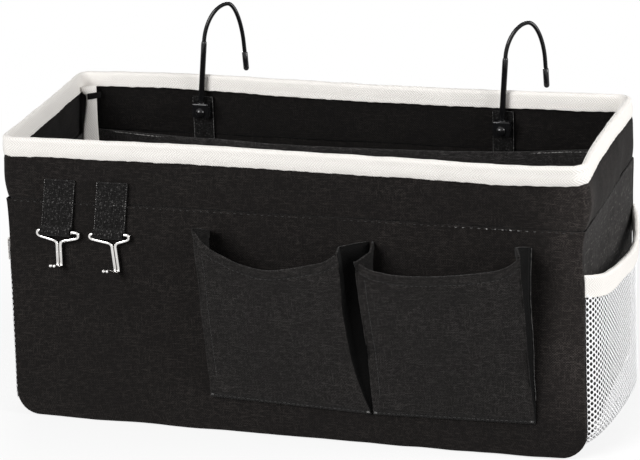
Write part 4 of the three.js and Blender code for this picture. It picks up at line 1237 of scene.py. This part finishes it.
def make_strap(side):
    low, high = box(f"hook_strap_{side}")
    x = low[0] + spaced(high[0] - low[0], 2.0, fine=(0, 0.3, 0.8))
    z = low[2] + spaced(high[2] - low[2], 3.0, fine=(0, 0.5, 1.5))
    grid = rumple(lattice(x, low[1], z), 12.0, 0.15, 149.0)
    cloth(f"hook_strap_{side}_web", f"hook_strap_{side}", grid, high[1] - low[1], STRAP_CLOTH, "webbing",
          shaded=STRAP_SHADE,
          flat=(high[0] - low[0], high[2] - low[2]), held="stretched", rests_on=["collar_cloth"])
    # Lighter thread along the strap's edges: a painted highlight where they catch light
    edge_glints = [stitches(grid[column] + [0, -0.1, 0], (0, -1, 0), pitch=2.1, length=1.7, radius=0.16)
             for column in (0, -1)]
    make_piece(f"hook_strap_{side}_frays", *joined(edge_glints), EDGE_GLINT_THREAD, "webbing")


def make_plate(side):
    """The block that holds a hook, with a low collar where the wire goes in."""
    low, high = box(f"hook_plate_{side}")
    shape = bmesh.new()
    bmesh.ops.create_cube(shape, size=1.0)
    for vert in shape.verts:
        vert.co = Vector((high + low) / 2 + np.array(vert.co) * (high - low))
    bmesh.ops.bevel(shape, geom=shape.edges[:], offset=PLATE_BEVEL, segments=4, profile=0.6, affect="EDGES")
    block = np.array([v.co for v in shape.verts]), [[v.index for v in f.verts] for f in shape.faces]
    shape.free()
    place = joint_place(f"{side}_hook_swivel")
    collar = [(0.9, -0.6), (1.6, -0.4), (1.5, 0.3), (0.9, 0.55), (0.35, 0.5), (0.3, -0.6)]
    ring = turned([(WIRE_RADIUS + r, h) for r, h in collar], place, place + [0, 0, 1])
    make_piece(f"hook_plate_{side}_block", *joined([block, ring]), GLOSS_BLACK, "black_plastic",
               f"hook_plate_{side}")


def make_rivet(side):
    low, high = box(f"hook_rivet_{side}")
    length = high[1] - low[1]
    tail = [(1.2, 2.5), (1.2, length - 0.8), (3.3, length - 0.8), (3.5, length - 0.5), (3.3, length - 0.1)]
    start = np.array([(low[0] + high[0]) / 2, low[1], (low[2] + high[2]) / 2])
    profile = dome(RIVET_RADIUS, RIVET_RISE) + [(RIVET_RADIUS - 0.1, RIVET_RISE + 0.25)] + tail
    make_piece(f"hook_rivet_{side}_dome", *turned(profile + [(0.0, length)], start, start + [0, 1, 0]),
               GLOSS_BLACK, "black_plastic", f"hook_rivet_{side}")


# The stitched line

# Span across the front whose stitches get painted glints
LIT_STITCHES = (112, 172)


def make_wall_stitches():
    """The stitched line round the walls, where the boards end."""
    height, inset = STITCH - 1.1, 6.0
    front = points_of((inset - HALF_WIDTH, HALF_WIDTH - inset), FRONT, height)
    side = points_of(HALF_WIDTH, (inset - GUSSET_HALF, GUSSET_HALF - inset), height)
    lines = ((front, (0, -1, 0)), (front * [1, -1, 1], (0, 1, 0)),
             (side, (1, 0, 0)), (side * [-1, 1, 1], (-1, 0, 0)))
    rows = [stitches(slouch(resampled(line, 4.0)), out, pitch=4.7, length=1.9) for line, out in lines]
    make_piece("wall_stitches", *joined(rows), DARK_THREAD, "canvas")
    # Pale stitches across this span: painted glints on the black thread
    lit = slouch(resampled(points_of(LIT_STITCHES, FRONT - 0.3, height), 4.0))
    row = stitches(lit, (0, -1, 0), pitch=5.2, length=1.4, radius=0.34)
    make_piece("lit_stitches", *row, PALE_GLINT_THREAD, "canvas")


# Stage, light and camera

CAMERA = {"azimuth": 16.04, "elevation": 19.436, "roll": -1.968, "distance": 1974.3, "focal_px": 2869.9}
CAMERA_TARGET = (-0.83, 0.0, 115.29)
CAMERA_CENTRE = (321.49, 234.73)
PHOTO = (640, 460)
SENSOR = 36.0
# Name, azimuth from the front, elevation, distance and size in metres, watts
LAMPS = (
    ("left_softbox", -28, 26, 2.6, (1.3, 1.3), 65),
    ("right_softbox", 82, 21, 1.35, (0.7, 0.8), 17),
    ("back_softbox", 200, 12, 2.6, (1.3, 1.0), 30),
)
LAMP_TARGET = (0, 0, 0.1)
WORLD_LIGHT = 0.12
# How far from the object the floor turns from nearly white to white, and its glow there
FLOOR_FADE = (0.25, 0.55)
FLOOR_GLOW = (0.8, 1.0)
FLOOR_RADIUS = 6.0
FLOOR_DROP = 0.0004


def facing(azimuth, elevation):
    """Axes of something that looks at the object from a direction. Azimuth 0 is in front."""
    level = math.pi / 2 - math.radians(elevation)
    return Matrix.Rotation(math.radians(azimuth), 4, "Z") @ Matrix.Rotation(level, 4, "X")


def put(name, data, target, axes, distance, aside=0.0, above=0.0):
    """Adds a camera or lamp that looks at a target from a distance, in metres."""
    thing = bpy.data.objects.new(name, data)
    place = Vector(target) + axes.to_3x3() @ Vector((aside, above, distance))
    thing.matrix_world = Matrix.Translation(place) @ axes
    bpy.context.scene.collection.objects.link(thing)
    return thing


def make_camera():
    data = bpy.data.cameras.new("camera")
    data.sensor_fit = "HORIZONTAL"
    data.sensor_width = SENSOR
    data.lens = CAMERA["focal_px"] * SENSOR / PHOTO[0]
    axes = facing(CAMERA["azimuth"], CAMERA["elevation"])
    axes = axes @ Matrix.Rotation(math.radians(CAMERA["roll"]), 4, "Z")
    distance = CAMERA["distance"] * MM
    aside, above = (np.array(CAMERA_CENTRE) - np.array(PHOTO) / 2) * distance / CAMERA["focal_px"]
    target = np.array(CAMERA_TARGET) * MM
    bpy.context.scene.camera = put("camera", data, target, axes, distance, -aside, above)


def camera_share(nodes):
    """1 for rays that show the background, to the camera or in a reflection, and 0 for light."""
    rays = nodes.add("LightPath").node.outputs
    seen = nodes.math("MAXIMUM", rays["Is Camera Ray"], rays["Is Glossy Ray"])
    return nodes.math("MAXIMUM", seen, rays["Is Transmission Ray"])


def make_stage():
    scene = bpy.context.scene
    scene.view_settings.view_transform = "Standard"
    scene.world = bpy.data.worlds.new("studio")
    scene.world.use_nodes = True
    nodes = Nodes(scene.world.node_tree)
    background = nodes.tree.nodes["Background"].inputs
    background["Color"].default_value = (1, 1, 1, 1)
    inputs = {"Value": camera_share(nodes), "To Min": WORLD_LIGHT, "To Max": 1.0}
    nodes.feed(background["Strength"], nodes.add("MapRange", inputs))
    for name, azimuth, elevation, distance, size, watts in LAMPS:
        data = bpy.data.lights.new(name, "AREA")
        data.shape = "RECTANGLE"
        data.size, data.size_y = size
        data.energy = watts
        put(name, data, LAMP_TARGET, facing(azimuth, elevation), distance)
    make_floor()


def make_floor():
    """A pale floor: white to the camera, with the object's shadow on it, and dim as a source of light."""
    f = Finish("pale_floor", Roughness=0.9, Specular_IOR_Level=0.0)
    share = camera_share(f)
    away = f.add("VectorMath", {0: f.add("NewGeometry")}, output=1, operation="LENGTH")
    glow = f.math("MULTIPLY", f.ramp(away, *FLOOR_FADE, *FLOOR_GLOW), share)
    f.done(f.mix(share, (0.2, 0.2, 0.2), (0.95, 0.95, 0.95)))
    mix = f.add("MixShader", {0: glow, 1: f.shader.outputs[0], 2: f.add("Emission")})
    output = next(n for n in f.tree.nodes if n.type == "OUTPUT_MATERIAL")
    f.feed(output.inputs["Surface"], mix)
    bpy.ops.mesh.primitive_circle_add(vertices=96, radius=FLOOR_RADIUS, fill_type="NGON",
                                      location=(0, 0, -FLOOR_DROP))
    floor = bpy.context.object
    floor.name = "floor"
    floor.data.materials.append(f.material)


make_camera()
make_walls()
make_boards()
make_collar()
make_rim_tape()
make_linings()
make_corner_tapes()
make_pockets()
make_mesh_pockets()
make_key_hooks()
make_key_tabs()
for hook_side in SIDES:
    make_hook(hook_side)
for hook_side in SIDES:
    make_strap(hook_side)
    make_plate(hook_side)
    make_rivet(hook_side)
make_wall_stitches()
make_stage()
